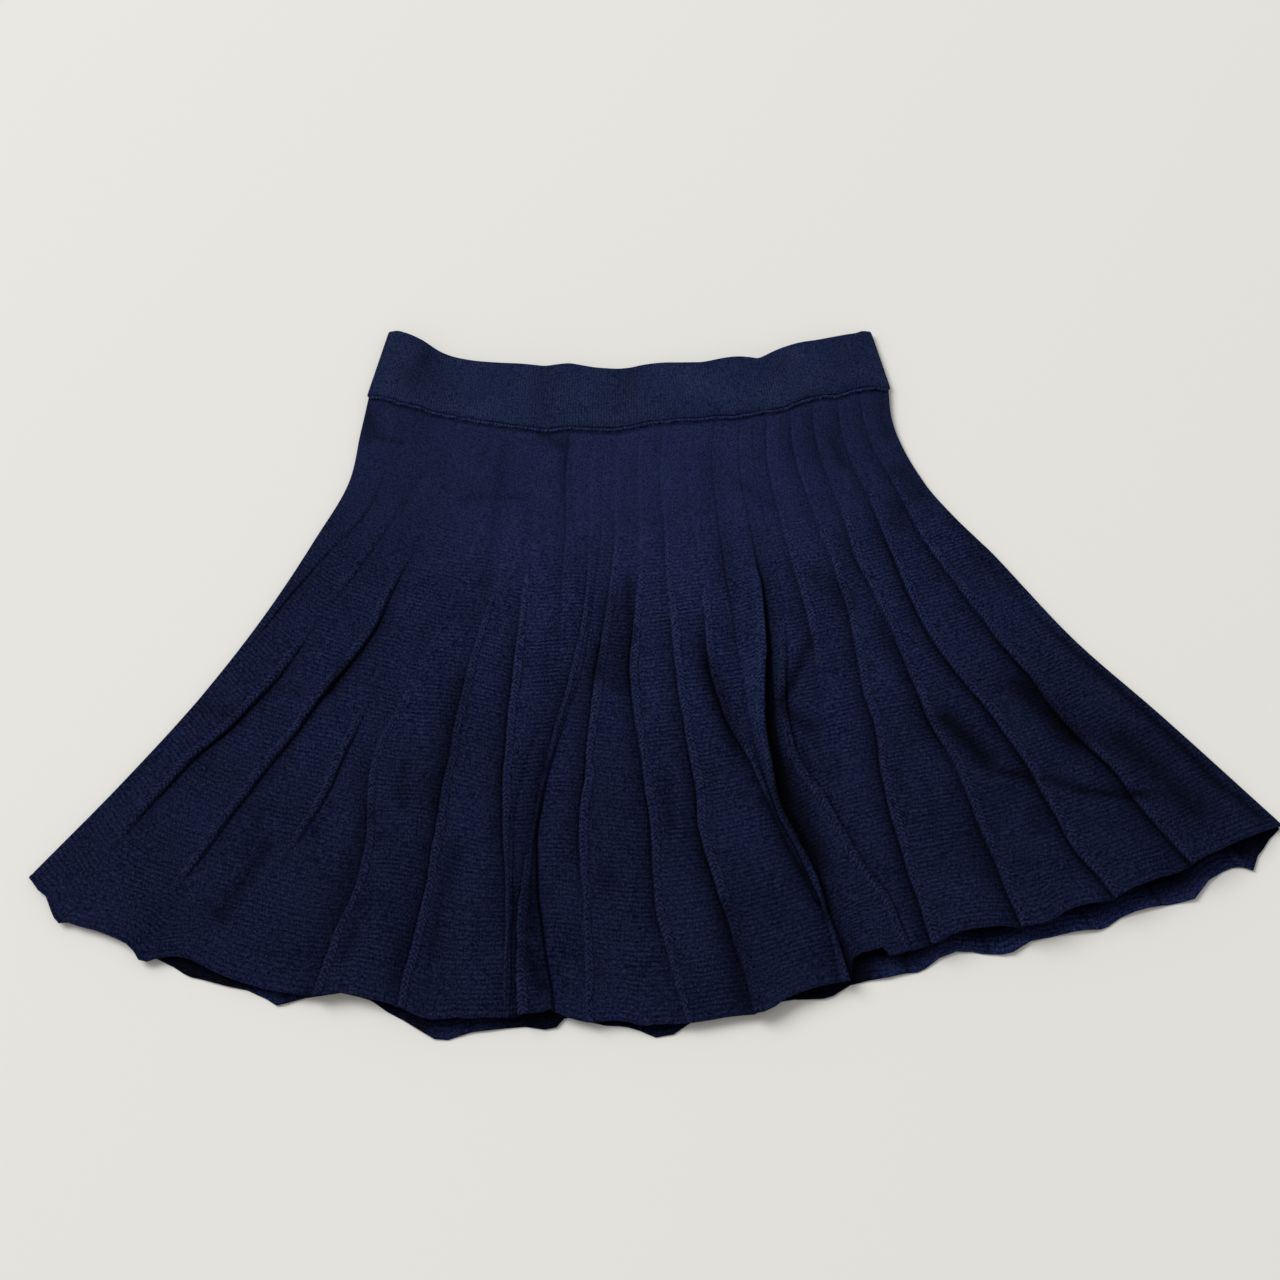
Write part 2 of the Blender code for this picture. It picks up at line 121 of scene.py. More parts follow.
BACK_HEM_DIPS = np.array((
    (0, 0.0), (25, -8.0), (50, -6.5), (75, -10.5), (100, -9.5), (118, -3.5), (125, -3.8), (138, -1.7),
    (150, 2.0), (163, 1.6), (175, 1.9), (188, 0.8), (200, 0.0), (207, 1.0), (213, 4.0), (219, 5.6),
    (225, 3.8), (238, 0.3), (250, -0.9), (263, -3.0), (275, -1.8), (288, -1.2), (300, 2.5), (313, 4.3),
    (325, 7.1), (338, 10.8), (344, 11.0), (350, 9.0), (363, 5.7), (375, 5.4), (388, 5.2), (400, 4.7),
    (413, 6.1), (419, 7.0), (425, 4.7), (431, -1.5), (438, -3.0), (450, -2.0), (463, -1.0), (475, -1.8),
    (488, 0.7), (494, 3.3), (500, 4.4), (506, 3.4), (513, 2.0), (519, -3.5), (525, -4.0), (550, -4.0),
    (575, -3.0), (588, -4.5), (600, -3.1), (613, 0.2), (625, 3.2), (630, 3.2), (638, 2.7), (644, 0.8),
    (650, 1.1), (663, 3.8), (675, 6.5), (688, 7.9), (700, 9.8), (706, 8.3), (713, 4.8), (719, 4.3),
    (725, 2.8), (731, 3.5), (738, 4.4), (750, 8.3), (763, 10.7), (769, 11.7), (775, 8.5), (781, 5.9),
    (788, 5.6), (800, 5.6), (813, 5.9), (825, 7.1), (838, 9.8), (844, 10.3), (850, 8.7), (856, 7.3),
    (863, 6.8), (875, 7.4), (888, 9.5), (900, 11.9), (913, 14.1), (919, 15.0), (922, 10.7), (925, 8.8),
    (938, 6.8), (950, 7.1), (956, 8.5), (963, 11.4), (969, 16.0), (972, 17.1), (974, 9.8), (981, 7.2),
    (988, 3.2), (1000, 0.0),
))
HEM_DIP_FROM = 0.86

# Thousandths across of each crease, named from left to right, at these shares down
CREASE_LEVELS = (0.0, 0.21, 0.415, 0.615, 0.81, 1.0)
CREASES = {
    "a": (80, 43, 12, 10, 10, 10),
    "b": (122, 93, 59, 38, 35, 40),
    "c": (168, 150, 121, 102, 101, 108),
    "d": (212, 193, 176, 172, 170, 165),
    "e": (258, 234, 214, 200, 226, 243),
    "f": (302, 287, 274, 284, 300, 308),
    "g": (347, 328, 332, 347, 371, 386),
    "h": (392, 386, 388, 364, 377, 392),
    "i": (440, 422, 402, 380, 383, 398),
    "i_low": (462, 443, 420, 393, 402, 424),
    "j": (483, 465, 438, 431, 437, 447),
    "k": (524, 507, 485, 495, 502, 518),
    "l": (568, 549, 539, 548, 562, 575),
    "m": (614, 601, 588, 613, 633, 651),
    "n": (662, 642, 631, 628, 642, 660),
    "o": (708, 694, 667, 642, 652, 668),
    "o_low": (735, 722, 694, 672, 690, 704),
    "p": (760, 745, 720, 705, 711, 713),
    "q": (806, 802, 775, 745, 730, 722),
    "r": (852, 849, 830, 808, 798, 786),
    "s": (900, 901, 877, 869, 863, 857),
    "t": (945, 950, 936, 928, 929, 920),
    "u": (982, 988, 990, 990, 992, 990),
}

# How far each crease strays from that line, in thousandths across, at tenths down, and how it
# wavers about it
STRAY_LEVELS = np.linspace(0.1, 1.0, 10)
CREASE_STRAYS = {
    "a": (0, 8, 3, 1, 0, 0, 0, 0, 0, 0),
    "b": (0, 3, 7, 9, 15, 13, 4, 2, 2, 0),
    "c": (0, 3, 8, 17, 11, 11, 7, 5, 2, 0),
    "d": (0, 0, 0, 0, 2, 3, 6, 2, 0, 0),
    "e": (0, 0, 0, 0, 0, 3, 15, 14, 6, 3),
    "i": (0, 2, 8, 4, 4, 6, 4, 0, 0, 0),
    "i_low": (0, 0, 0, 0, -2, -2, -5, -3, 0, 0),
    "j": (0, 0, 0, 0, 0, 0, -4, -1, 0, 0),
    "k": (0, 0, -2, -4, -1, 0, 0, -3, 0, 0),
    "l": (0, 0, 0, 0, 0, -1, -9, -7, -5, -5),
    "m": (0, 0, 0, -5, -6, -2, -3, -2, -1, -11),
    "n": (0, 0, -3, -8, -10, -9, -11, -9, -12, -24),
    "o": (0, 0, 0, -8, -16, -15, -19, -14, -19, -24),
    "o_low": (0, 0, 0, -5, -15, -14, -7, -10, -4, -10),
    "p": (0, 0, 0, 0, -4, -6, -8, -10, -12, -14),
    "q": (0, 0, -1, -2, -4, 0, -9, -12, -13, -13),
    "r": (0, -2, -14, -12, -6, -4, -3, -9, -10, -10),
    "s": (0, -2, -11, -16, -14, -5, -4, -9, -13, -7),
    "t": (0, 0, -12, -10, -5, 0, -8, -7, -10, -6),
}
STRAYS_START = (0.05, 0.15)
WAVER = 0.0004
WAVER_WAVES = 9.3
WAVER_SHIFT = 0.37

# How far the front lies above the back in millimetres: share across, at the seam, hips and hem
FRONT_LIFT = np.array((
    (0.00, 0.0, 0.0, 0.0), (0.05, 3.5, 0.4, 1.2), (0.14, 2.5, 0.8, 2.0), (0.33, 6.5, 1.0, 3.5),
    (0.50, 3.0, 1.2, 2.5), (0.69, 7.4, 1.2, 5.5), (0.80, 5.6, 1.0, 8.8), (0.88, 4.0, 1.0, 9.5),
    (0.95, 4.0, 0.5, 7.5), (1.00, 0.0, 0.0, 0.0),
))

# The knit: its courses run across a panel, and one course is one stitch of a rib
CLOTH_WALL = 0.9 * MM
COURSE_PITCH = 2.5 * MM
COURSE_GROWTH = 0.36
OUTLINE_SAMPLES = 600

# The hem edge: a flat row of finished stitches, a fine groove above it and a round lip
HEM_BAND = 3.2 * MM
HEM_BAND_RISE = 0.35 * MM
HEM_BAND_SLOPE_FROM = 0.7 * HEM_BAND
HEM_GROOVE_AT = 1.15 * HEM_BAND
HEM_GROOVE_WIDTH = 0.7 * MM
HEM_GROOVE_DEPTH = 0.35 * MM
HEM_LIP = 0.8 * MM
HEM_LIP_DROP = 0.35 * MM
PANEL_LENGTH = 405 * MM

# Rows of a panel: how far the close ones lie from the seam and from the hem edge, where the even
# rows begin and end, and how many of those lie above the hips
SEAM_ROWS = np.array((0.0, 1.2, 2.1, 2.7, 3.3, 3.9, 4.7)) * MM
EDGE_ROWS = np.array((4.4, 3.7, 3.1, 1.6, 0.8, 0.35)) * MM
EVEN_ROWS_MARGIN = 6.0 * MM
HIP_ROWS = 21
HIP_ROWS_TO = 0.14
BACK_ROWS = 90
BACK_COLUMNS = np.array((0.0, 0.06, 0.12, 0.22, 0.4, 0.6, 0.8, 0.92))

# How bright the knit is at the hem and what the waist adds, as a painted fall-off of light that
# also stands for the paler smooth knit near the waist, and how much painted shade darkens three
# places. Each pair holds the shares, across or down, between which a change comes in.
HEM_TONE = 0.76
WAIST_TONE_ADDED = 0.56
WAIST_TONE_DOWN = (0.08, 0.80)
BESIDE_MIDDLE_DARKNESS = 0.20
TONE_MIDDLE = 0.52
BESIDE_MIDDLE_DOWN = (0.3, 0.6)
FAR_RIGHT_DARKNESS = 0.14
FAR_RIGHT_ACROSS = (0.72, 1.0)
FAR_RIGHT_DOWN = (0.3, 0.8)
UPPER_LEFT_DARKNESS = 0.12
UPPER_LEFT_ACROSS = (0.15, 0.45)
UPPER_LEFT_DOWN = (0.35, 0.75)

# The back: flat on top but for ripples at its hem, with a groove in each crease that gets painted
# shade, and with ridged courses that come in between two shares down
BACK_COURSES_DOWN = (0.12, 0.3)
BACK_TOP = 1.2 * MM
BACK_TOP_GROOVE_SHARE = 0.6
BACK_GROOVE_DARKNESS = 0.5
BACK_GROOVE = 0.45 * MM
BACK_GROOVE_HALF_WIDTH = 1.2 * MM
BACK_RIPPLES = 20
BACK_RIPPLE_SHARE = 0.25
BACK_RIPPLE_FROM = 0.90
SIDE_TUCK = 1.6 * MM

# Painted light on the back: it is painted dark under the front, and the strip that shows past the
# front hem gets painted light near its own edge, as much as given along the hem, with a painted
# highlight along the rim
HEM_STRIP_WIDTH = 8.0 * MM
HEM_STRIP_ENDS = 14.0 * MM
HEM_RIM_AT = 1.6 * MM
HEM_RIM_HALF_WIDTH = 0.9 * MM
HEM_RIM_LIGHT = 0.5
HEM_STRIP_SHADE = 0.10
HEM_STRIP_LIGHTS = np.array((
    (0.12, 0.2), (0.14, 0.1), (0.19, 0.1), (0.21, 0.9), (0.24, 0.9), (0.25, 0.2), (0.33, 0.2),
    (0.34, 0.9), (0.36, 0.9), (0.38, 0.4), (0.40, 0.1), (0.44, 0.1), (0.50, 0.3), (0.60, 0.1),
    (0.66, 0.1), (0.67, 1.2), (0.76, 1.6), (0.83, 1.6), (0.91, 1.5), (0.93, 1.6), (0.965, 1.5),
    (0.975, 0.2), (1.00, 0.1),
))


def smooth_step(low, high, x):
    """0 below low, 1 above high, and the cubic 3t^2 - 2t^3 between them."""
    t = np.clip((np.asarray(x) - low) / (high - low), 0.0, 1.0)
    return t * t * (3.0 - 2.0 * t)


def bell(x):
    """The bell curve e to the minus x squared."""
    return np.exp(-np.square(x))


def through(knots, values, x):
    """A smooth curve through values at the knots: cubic pieces whose slopes are central differences."""
    knots = np.asarray(knots, float)
    values = np.asarray(values, float)
    slopes = np.gradient(values, knots)
    i = np.clip(np.searchsorted(knots, x, side="right") - 1, 0, len(knots) - 2)
    step = knots[i + 1] - knots[i]
    t = np.clip((x - knots[i]) / step, 0.0, 1.0)
    rise = values[i + 1] - values[i]
    bend_in = slopes[i] * step - rise
    bend_out = rise - slopes[i + 1] * step
    return values[i] + t * rise + t * (1.0 - t) * ((1.0 - t) * bend_in + t * bend_out)


def distances(steps):
    """Distance run at each point of a line, from the lengths of the steps between its points."""
    return np.concatenate([[0.0], np.cumsum(steps)])


def at_height(plan, z):
    """Points over a plan, at these heights."""
    return np.concatenate([plan, z[..., None]], axis=-1)


def outline(points, shares):
    """Points at these shares of the length of a smooth curve through the outline's points."""
    points = SEAM_MIDDLE + np.array(points) * CM
    chord = distances(np.hypot(*np.diff(points, axis=0).T))
    fine = np.linspace(0.0, chord[-1], OUTLINE_SAMPLES)
    curve = np.stack([through(chord, points[:, axis], fine) for axis in (0, 1)], axis=-1)
    length = distances(np.hypot(*np.diff(curve, axis=0).T))
    wanted = np.asarray(shares) * length[-1]
    return np.stack([np.interp(wanted, length, curve[:, axis]) for axis in (0, 1)], axis=-1)


def panel_plan(across, down, dips):
    """Where a skirt panel's points lie from above.

    The four outlines are blended: seam and hem by the share down, the two sides by the share
    across, less the blend of the four corners. Near the hem the points also dip towards -Y.
    """
    ends = np.array((0.0, 1.0))
    seam = outline(WAIST_SEAM, across)
    hem = outline(HEM, across)
    left = outline(LEFT_SIDE, down)
    right = outline(RIGHT_SIDE, down)
    seam_ends = outline(WAIST_SEAM, ends)
    hem_ends = outline(HEM, ends)
    a = across[..., None]
    d = down[..., None]
    corners = (1 - d) * ((1 - a) * seam_ends[0] + a * seam_ends[1])
    corners = corners + d * ((1 - a) * hem_ends[0] + a * hem_ends[1])
    plan = (1 - d) * seam + d * hem + (1 - a) * left + a * right - corners
    dip = np.interp(across, dips[:, 0] / 1000, dips[:, 1]) * MM
    plan[..., 1] -= dip * smooth_step(HEM_DIP_FROM, 1.0, down)
    return plan


def crease_rows(down):
    """Shares across of every crease, with both panel edges, in each row.

    Each crease is its curve plus its strays, and wavers a little by a sine of the share down.
    """
    inner = []
    for number, (name, places) in enumerate(CREASES.items()):
        strays = CREASE_STRAYS.get(name, np.zeros(len(STRAY_LEVELS)))
        stray = through(STRAY_LEVELS, strays, down) / 1000
        waver = WAVER * np.sin(TURN * (WAVER_WAVES * down + WAVER_SHIFT * number))
        fade = smooth_step(*STRAYS_START, down)
        inner.append(through(CREASE_LEVELS, np.array(places) / 1000, down) + (stray + waver) * fade)
    return np.stack([np.zeros_like(down), *inner, np.ones_like(down)], axis=-1)


def panel_width(down):
    """Width of a panel from side to side in each row, in metres."""
    from_left = outline(RIGHT_SIDE, down) - outline(LEFT_SIDE, down)
    return np.hypot(from_left[..., 0], from_left[..., 1])


def course_at(down):
    """How many courses lie above a share down, where their pitch grows evenly towards the hem.

    The pitch is its value at the seam times 1 plus the growth times the share down, so the count
    is a logarithm: length over pitch over growth, times the logarithm of that same sum.
    """
    return PANEL_LENGTH / COURSE_PITCH / COURSE_GROWTH * np.log1p(COURSE_GROWTH * down)


def knit_tone_and_painted_light(across, down):
    """Painted light of the cloth: a painted fall-off of light from the waist to the hem, which also
    stands for the smooth knit near the waist being paler than the ridged knit below. Near the waist
    it is brightest in the middle, with painted shade beside it, and painted shade makes the far
    right and the upper left a little darker."""
    pale = 1.0 - smooth_step(*WAIST_TONE_DOWN, down)
    from_middle = np.square((across - TONE_MIDDLE) / 0.5)
    beside_middle = from_middle * (1.0 - smooth_step(*BESIDE_MIDDLE_DOWN, down))
    far_right = smooth_step(*FAR_RIGHT_ACROSS, across) * smooth_step(*FAR_RIGHT_DOWN, down)
    left = 1.0 - smooth_step(*UPPER_LEFT_ACROSS, across)
    upper_left = left * (1.0 - smooth_step(*UPPER_LEFT_DOWN, down))
    light = (1.0 - FAR_RIGHT_DARKNESS * far_right) * (1.0 - UPPER_LEFT_DARKNESS * upper_left)
    light = light * (1.0 - BESIDE_MIDDLE_DARKNESS * beside_middle)
    return (HEM_TONE + WAIST_TONE_ADDED * pale) * light


def panel_rows(count):
    """Shares down of a panel's rows: close ones by the seam and the hem edge, then rows that are
    even down to the hips and even, but wider apart, below them."""
    end = EVEN_ROWS_MARGIN / PANEL_LENGTH
    hips = np.linspace(end, HIP_ROWS_TO, HIP_ROWS, endpoint=False)
    below = np.linspace(HIP_ROWS_TO, 1.0 - end, count - HIP_ROWS)
    return np.concatenate([SEAM_ROWS / PANEL_LENGTH, hips, below, 1.0 - EDGE_ROWS / PANEL_LENGTH, [1.0]])


def hem_relief(down):
    """Height that the finished edge adds: a raised band, a groove above it and a falling lip."""
    from_edge = (1.0 - down) * PANEL_LENGTH
    band = HEM_BAND_RISE * (1.0 - smooth_step(HEM_BAND_SLOPE_FROM, HEM_BAND, from_edge))
    groove = HEM_GROOVE_DEPTH * bell((from_edge - HEM_GROOVE_AT) / HEM_GROOVE_WIDTH)
    lip = (HEM_LIP_DROP + HEM_BAND_RISE) * (1.0 - smooth_step(0.0, HEM_LIP, from_edge))
    return band - groove - lip


def grid_normals(points):
    """Unit normals of a grid of points, from the cross product of its two central differences."""
    rows, columns = np.gradient(points, axis=(0, 1))
    normals = np.cross(rows, columns)
    return normals / np.maximum(np.linalg.norm(normals, axis=-1, keepdims=True), 1e-12)


def cloth_mesh(name, top, bottom, uv, marks, material):
    """A closed wall between two grids: top and bottom faces, and one ring of faces round the rim.

    uv holds the knit's own coordinates for each grid point, and marks its named point values.
    """
    rows, columns = top.shape[:2]
    index = np.arange(rows * columns).reshape(rows, columns)
    a, b, c, d = index[:-1, :-1], index[1:, :-1], index[1:, 1:], index[:-1, 1:]
    top_faces = np.stack([a, b, c, d], axis=-1).reshape(-1, 4)
    bottom_faces = top_faces[:, ::-1] + rows * columns
    around = np.concatenate([index[:, 0], index[-1, 1:], index[-2::-1, -1], index[0, -2:0:-1]])
    after = np.roll(around, -1)
    rim = np.stack([around, around + rows * columns, after + rows * columns, after], axis=-1)
    faces = np.concatenate([top_faces, bottom_faces, rim])
    points = np.concatenate([top.reshape(-1, 3), bottom.reshape(-1, 3)])
    twice = {key: np.tile(values.reshape(-1), 2) for key, values in marks.items()}
    return knit_object(name, points, faces, np.tile(uv.reshape(-1, 2), (2, 1)), twice, material)


def knit_object(name, points, faces, uv, marks, material):
    """An object from points and four-sided faces, with its knit coordinates and point values."""
    mesh = bpy.data.meshes.new(name)
    mesh.vertices.add(len(points))
    mesh.vertices.foreach_set("co", points.astype(np.float32).ravel())
    mesh.loops.add(faces.size)
    mesh.loops.foreach_set("vertex_index", faces.astype(np.int32).ravel())
    mesh.polygons.add(len(faces))
    mesh.polygons.foreach_set("loop_start", np.arange(0, faces.size, 4, dtype=np.int32))
    mesh.update(calc_edges=True)
    layer = mesh.uv_layers.new(name="knit")
    layer.data.foreach_set("uv", uv[faces.ravel()].astype(np.float32).ravel())
    for key, values in marks.items():
        mark = mesh.attributes.new(key, "FLOAT", "POINT")
        mark.data.foreach_set("value", values.astype(np.float32))
    mesh.validate()
    mesh.shade_smooth()
    mesh.materials.append(material)
    piece = add_object(name, mesh)
    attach(piece, "root")
    return piece


BODY_NAVY = (0.0082, 0.0121, 0.0405)
# How far the colour changes with a pattern around 1, which holds fibre specks and the painted shade
# between ridges and loops
FIBRE_AND_SHADE_CHANGE = (0.0092, 0.0110, 0.0240)
DARKEST_FIBRE = (0.0006, 0.0008, 0.0030)
BRIGHTEST_SPECK = 2.4
KNIT_ROUGHNESS = 0.9
KNIT_SPECULAR = 0.04
KNIT_SHEEN = 0.02
KNIT_SHEEN_ROUGHNESS = 0.5
KNIT_SHEEN_COLOUR = (0.10, 0.14, 0.34, 1.0)


class Shading:
    """A material's node tree, built by short calls that each add one node and return its output."""

    def __init__(self, name):
        self.material = bpy.data.materials.new(name)
        self.material.use_nodes = True
        self.nodes = self.material.node_tree.nodes
        self.links = self.material.node_tree.links
        self.shader = self.nodes["Principled BSDF"]

    def put(self, value, socket):
        """Sets a socket to a number or colour, or links it to another node's output."""
        if isinstance(value, bpy.types.NodeSocket):
            self.links.new(value, socket)
        else:
            socket.default_value = value

    def math(self, operation, *values):
        node = self.nodes.new("ShaderNodeMath")
        node.operation = operation
        for value, socket in zip(values, node.inputs):
            self.put(value, socket)
        return node.outputs[0]

    def vector(self, operation, a, b):
        """Vector math on two vectors, or on a vector and a number where it is scaled."""
        node = self.nodes.new("ShaderNodeVectorMath")
        node.operation = operation
        self.put(a, node.inputs[0])
        self.put(b, node.inputs["Scale"] if operation == "SCALE" else node.inputs[1])
        return node.outputs["Vector"]

    def add(self, a, b):
        return self.math("ADD", a, b)

    def times(self, a, b):
        return self.math("MULTIPLY", a, b)

    def spread(self, value, gain, base):
        """A value times a gain, plus a base."""
        return self.math("MULTIPLY_ADD", value, gain, base)

    def clamp(self, value):
        """A number kept between 0 and 1."""
        return self.math("MINIMUM", self.math("MAXIMUM", value, 0.0), 1.0)

    def blend(self, share, a, b):
        """Two numbers mixed: a where share is 0 and b where it is 1."""
        return self.add(a, self.times(share, self.math("SUBTRACT", b, a)))

    def ridge(self, turns):
        """A round wave from 0 to 1, highest where turns is a whole number."""
        wave = self.math("COSINE", self.times(turns, TURN))
        return self.spread(wave, 0.5, 0.5)

    def noise(self, scale, detail=2.0, stretch=(1.0, 1.0, 1.0)):
        """Noise from 0 to 1 on object coordinates, at this many features a metre."""
        coordinates = self.nodes.new("ShaderNodeTexCoord")
        mapping = self.nodes.new("ShaderNodeMapping")
        mapping.inputs["Scale"].default_value = stretch
        node = self.nodes.new("ShaderNodeTexNoise")
        node.inputs["Scale"].default_value = scale
        node.inputs["Detail"].default_value = detail
        self.links.new(coordinates.outputs["Object"], mapping.inputs["Vector"])
        self.links.new(mapping.outputs["Vector"], node.inputs["Vector"])
        return node.outputs["Fac"]

    def pattern(self, scale, detail, gain, base, stretch=(1.0, 1.0, 1.0)):
        """Noise times a gain, plus a base."""
        return self.spread(self.noise(scale, detail, stretch), gain, base)

    def drift(self, *parts):
        """A sum of noises, each given by its features a metre and its weight."""
        return reduce(self.add, [self.times(self.noise(scale), weight) for scale, weight in parts])

    def knit_place(self):
        """The two knit coordinates: metres across the cloth, and courses down it."""
        place = self.nodes.new("ShaderNodeUVMap")
        place.uv_map = "knit"
        split = self.nodes.new("ShaderNodeSeparateXYZ")
        self.links.new(place.outputs["UV"], split.inputs["Vector"])
        return split.outputs["X"], split.outputs["Y"]

    def mark(self, name):
        """A named point value of the mesh."""
        node = self.nodes.new("ShaderNodeAttribute")
        node.attribute_name = name
        return node.outputs["Fac"]

    def mottle(self, colour, change, pattern, light):
        """A colour plus its change times a pattern around 1, all times how bright the place is."""
        around = self.math("SUBTRACT", self.math("MINIMUM", pattern, BRIGHTEST_SPECK), 1.0)
        mixed = self.vector("ADD", colour, self.vector("SCALE", change, around))
        return self.vector("SCALE", self.vector("MAXIMUM", mixed, DARKEST_FIBRE), light)

    def bump(self, height, distance, strength, before=None):
        """A normal from a height pattern, over an earlier bump's normal if one is given."""
        node = self.nodes.new("ShaderNodeBump")
        node.inputs["Distance"].default_value = distance
        node.inputs["Strength"].default_value = strength
        self.links.new(height, node.inputs["Height"])
        if before is not None:
            self.links.new(before, node.inputs["Normal"])
        return node.outputs["Normal"]

    def finish(self, colour, normal):
        """The look of dry knit: rough, hardly glossy, with a trace of blue sheen."""
        for name, value in (
            ("Base Color", colour),
            ("Normal", normal),
            ("Roughness", KNIT_ROUGHNESS),
            ("Specular IOR Level", KNIT_SPECULAR),
            ("Sheen Weight", KNIT_SHEEN),
            ("Sheen Roughness", KNIT_SHEEN_ROUGHNESS),
            ("Sheen Tint", KNIT_SHEEN_COLOUR),
        ):
            self.put(value, self.shader.inputs[name])
        return self.material


# The body's knit. A noise pattern is its features a metre, detail, gain and base; a drift is
# features a metre and weight; a bump is distance and strength. PATCH_STRENGTH and each shade are a
# gain and a base.
BODY_WALE = 1.9 * MM
WALE_SWING = 0.10
WALE_DRIFT = (90.0, 0.8)
COURSE_DRIFT = ((130.0, 0.8), (520.0, 0.5))
RIDGE_POWER = 0.8
PATCHES = (34.0, 1.0, 2.6, -0.62)
PATCH_STRENGTH = (0.75, 0.50)
DASHES = (240.0, 1.0, 3.0, -0.75)
DASH_STRETCH = (1.0, 2.2, 1.0)
JERSEY_SLANT = 0.5
JERSEY_RELIEF = 0.35
RIDGE_BUMP = (0.60 * MM, 0.9)
FUZZ = (800.0, 3.0)
FUZZ_BUMP = (0.40 * MM, 0.6)
RIDGE_SHADE = (0.98, 0.40)
CLOUDS = (22.0, 3.0, 0.7, 0.65)
SPECKS = (700.0, 2.0, 4.4, -1.2)
JERSEY_SPECKS = 0.6


def body_knit():
    """The body's knit: purl-like course ridges broken into dashes, fading to smooth jersey upwards.

    The ridge height is a cosine of the course count, whose phase swings from wale to wale and
    drifts with noise. The mark "courses" says how strongly the ridges stand, and "light" holds the
    painted light and shade of a place: little in a crease and full on the panels. Painted shade
    darkens the dips between the ridges.
    """
    s = Shading("body_knit")
    across, course = s.knit_place()
    wale = s.math("DIVIDE", across, BODY_WALE)
    swing = s.times(s.math("COSINE", s.times(wale, TURN)), WALE_SWING)
    turns = s.add(s.add(course, swing), s.drift(*COURSE_DRIFT))
    ridges = s.math("POWER", s.ridge(turns), RIDGE_POWER)
    wales = s.ridge(s.add(wale, s.drift(WALE_DRIFT)))
    patchy = s.spread(s.clamp(s.pattern(*PATCHES)), *PATCH_STRENGTH)
    dashes = s.clamp(s.pattern(*DASHES, DASH_STRETCH))
    strength = s.times(s.times(s.mark("courses"), dashes), patchy)
    jersey = s.times(wales, s.ridge(s.add(course, s.times(wale, JERSEY_SLANT))))
    relief = s.blend(strength, s.times(jersey, JERSEY_RELIEF), ridges)
    normal = s.bump(relief, *RIDGE_BUMP)
    normal = s.bump(s.noise(*FUZZ), *FUZZ_BUMP, normal)
    shade = s.blend(strength, 1.0, s.spread(ridges, *RIDGE_SHADE))
    fine = s.blend(s.mark("courses"), JERSEY_SPECKS, 1.0)
    specks = s.spread(s.math("SUBTRACT", s.pattern(*SPECKS), 1.0), fine, 1.0)
    light = s.times(s.pattern(*CLOUDS), s.mark("light"))
    return s.finish(s.mottle(BODY_NAVY, FIBRE_AND_SHADE_CHANGE, s.times(shade, specks), light), normal)


BODY_KNIT = body_knit()


def back_panel():
    """The back panel: its top lies in one plane but for ripples along the hem, and its underside
    rests on the surface but for a groove in each crease, deepest in the middle of the crease."""
    down = panel_rows(BACK_ROWS)
    creases = 1.0 - crease_rows(down)[:, ::-1]
    width = panel_width(down)
    low, high = creases[:, :-1, None], creases[:, 1:, None]
    across = (low + BACK_COLUMNS * (high - low)).reshape(len(down), -1)
    across = np.concatenate([across, np.ones((len(down), 1))], axis=1)
    tuck = SIDE_TUCK / width[:, None]
    across = tuck + across * (1.0 - 2.0 * tuck)
    rows_down = np.broadcast_to(down[:, None], across.shape)
    plan = panel_plan(across, rows_down, BACK_HEM_DIPS)
    from_edge = (1.0 - rows_down) * PANEL_LENGTH
    from_crease = (np.minimum(BACK_COLUMNS, 1.0 - BACK_COLUMNS) * (high - low)).reshape(len(down), -1)
    from_crease = np.concatenate([from_crease, np.zeros((len(down), 1))], axis=1)
    groove = bell(from_crease * width[:, None] / BACK_GROOVE_HALF_WIDTH)
    lift = np.maximum(through(FRONT_LIFT[:, 0], FRONT_LIFT[:, 3], across), 0.0) * MM
    wave = 0.5 - 0.5 * np.cos(TURN * BACK_RIPPLES * across)
    ripple = BACK_RIPPLE_SHARE * lift * wave * smooth_step(BACK_RIPPLE_FROM, 1.0, rows_down)
    lip = HEM_LIP_DROP * (1.0 - smooth_step(0.0, HEM_LIP, from_edge))
    under = ripple + BACK_GROOVE * groove + lip
    over = BACK_TOP + ripple + BACK_TOP_GROOVE_SHARE * BACK_GROOVE * groove + hem_relief(rows_down)
    uv = np.stack([across * width[:, None], course_at(rows_down)], axis=-1)
    # Painted light and shade: dark under the front, lit along the showing strip with a highlight at the
    # rim, and painted shade along each groove
    inside = smooth_step(HEM_STRIP_WIDTH, HEM_STRIP_ENDS, from_edge)
    strip = np.interp(across, HEM_STRIP_LIGHTS[:, 0], HEM_STRIP_LIGHTS[:, 1])
    rim = bell((from_edge - HEM_RIM_AT) / HEM_RIM_HALF_WIDTH)
    lit = HEM_STRIP_SHADE + strip * (1.0 - inside) * (1.0 + HEM_RIM_LIGHT * rim)
    marks = {
        "light": (1.0 - BACK_GROOVE_DARKNESS * groove) * lit * knit_tone_and_painted_light(across, rows_down),
        "courses": smooth_step(*BACK_COURSES_DOWN, rows_down),
    }
    return cloth_mesh("back_panel", at_height(plan, over), at_height(plan, under), uv, marks, BODY_KNIT)


back = back_panel()
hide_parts("skirt_back")


# Front panel: the same piece of knit again, lying on the back one. Raised ribs are knitted into
# it, each beside a crease where the cloth folds down, and the plain knit between them falls
# softly from one rib to the next crease.

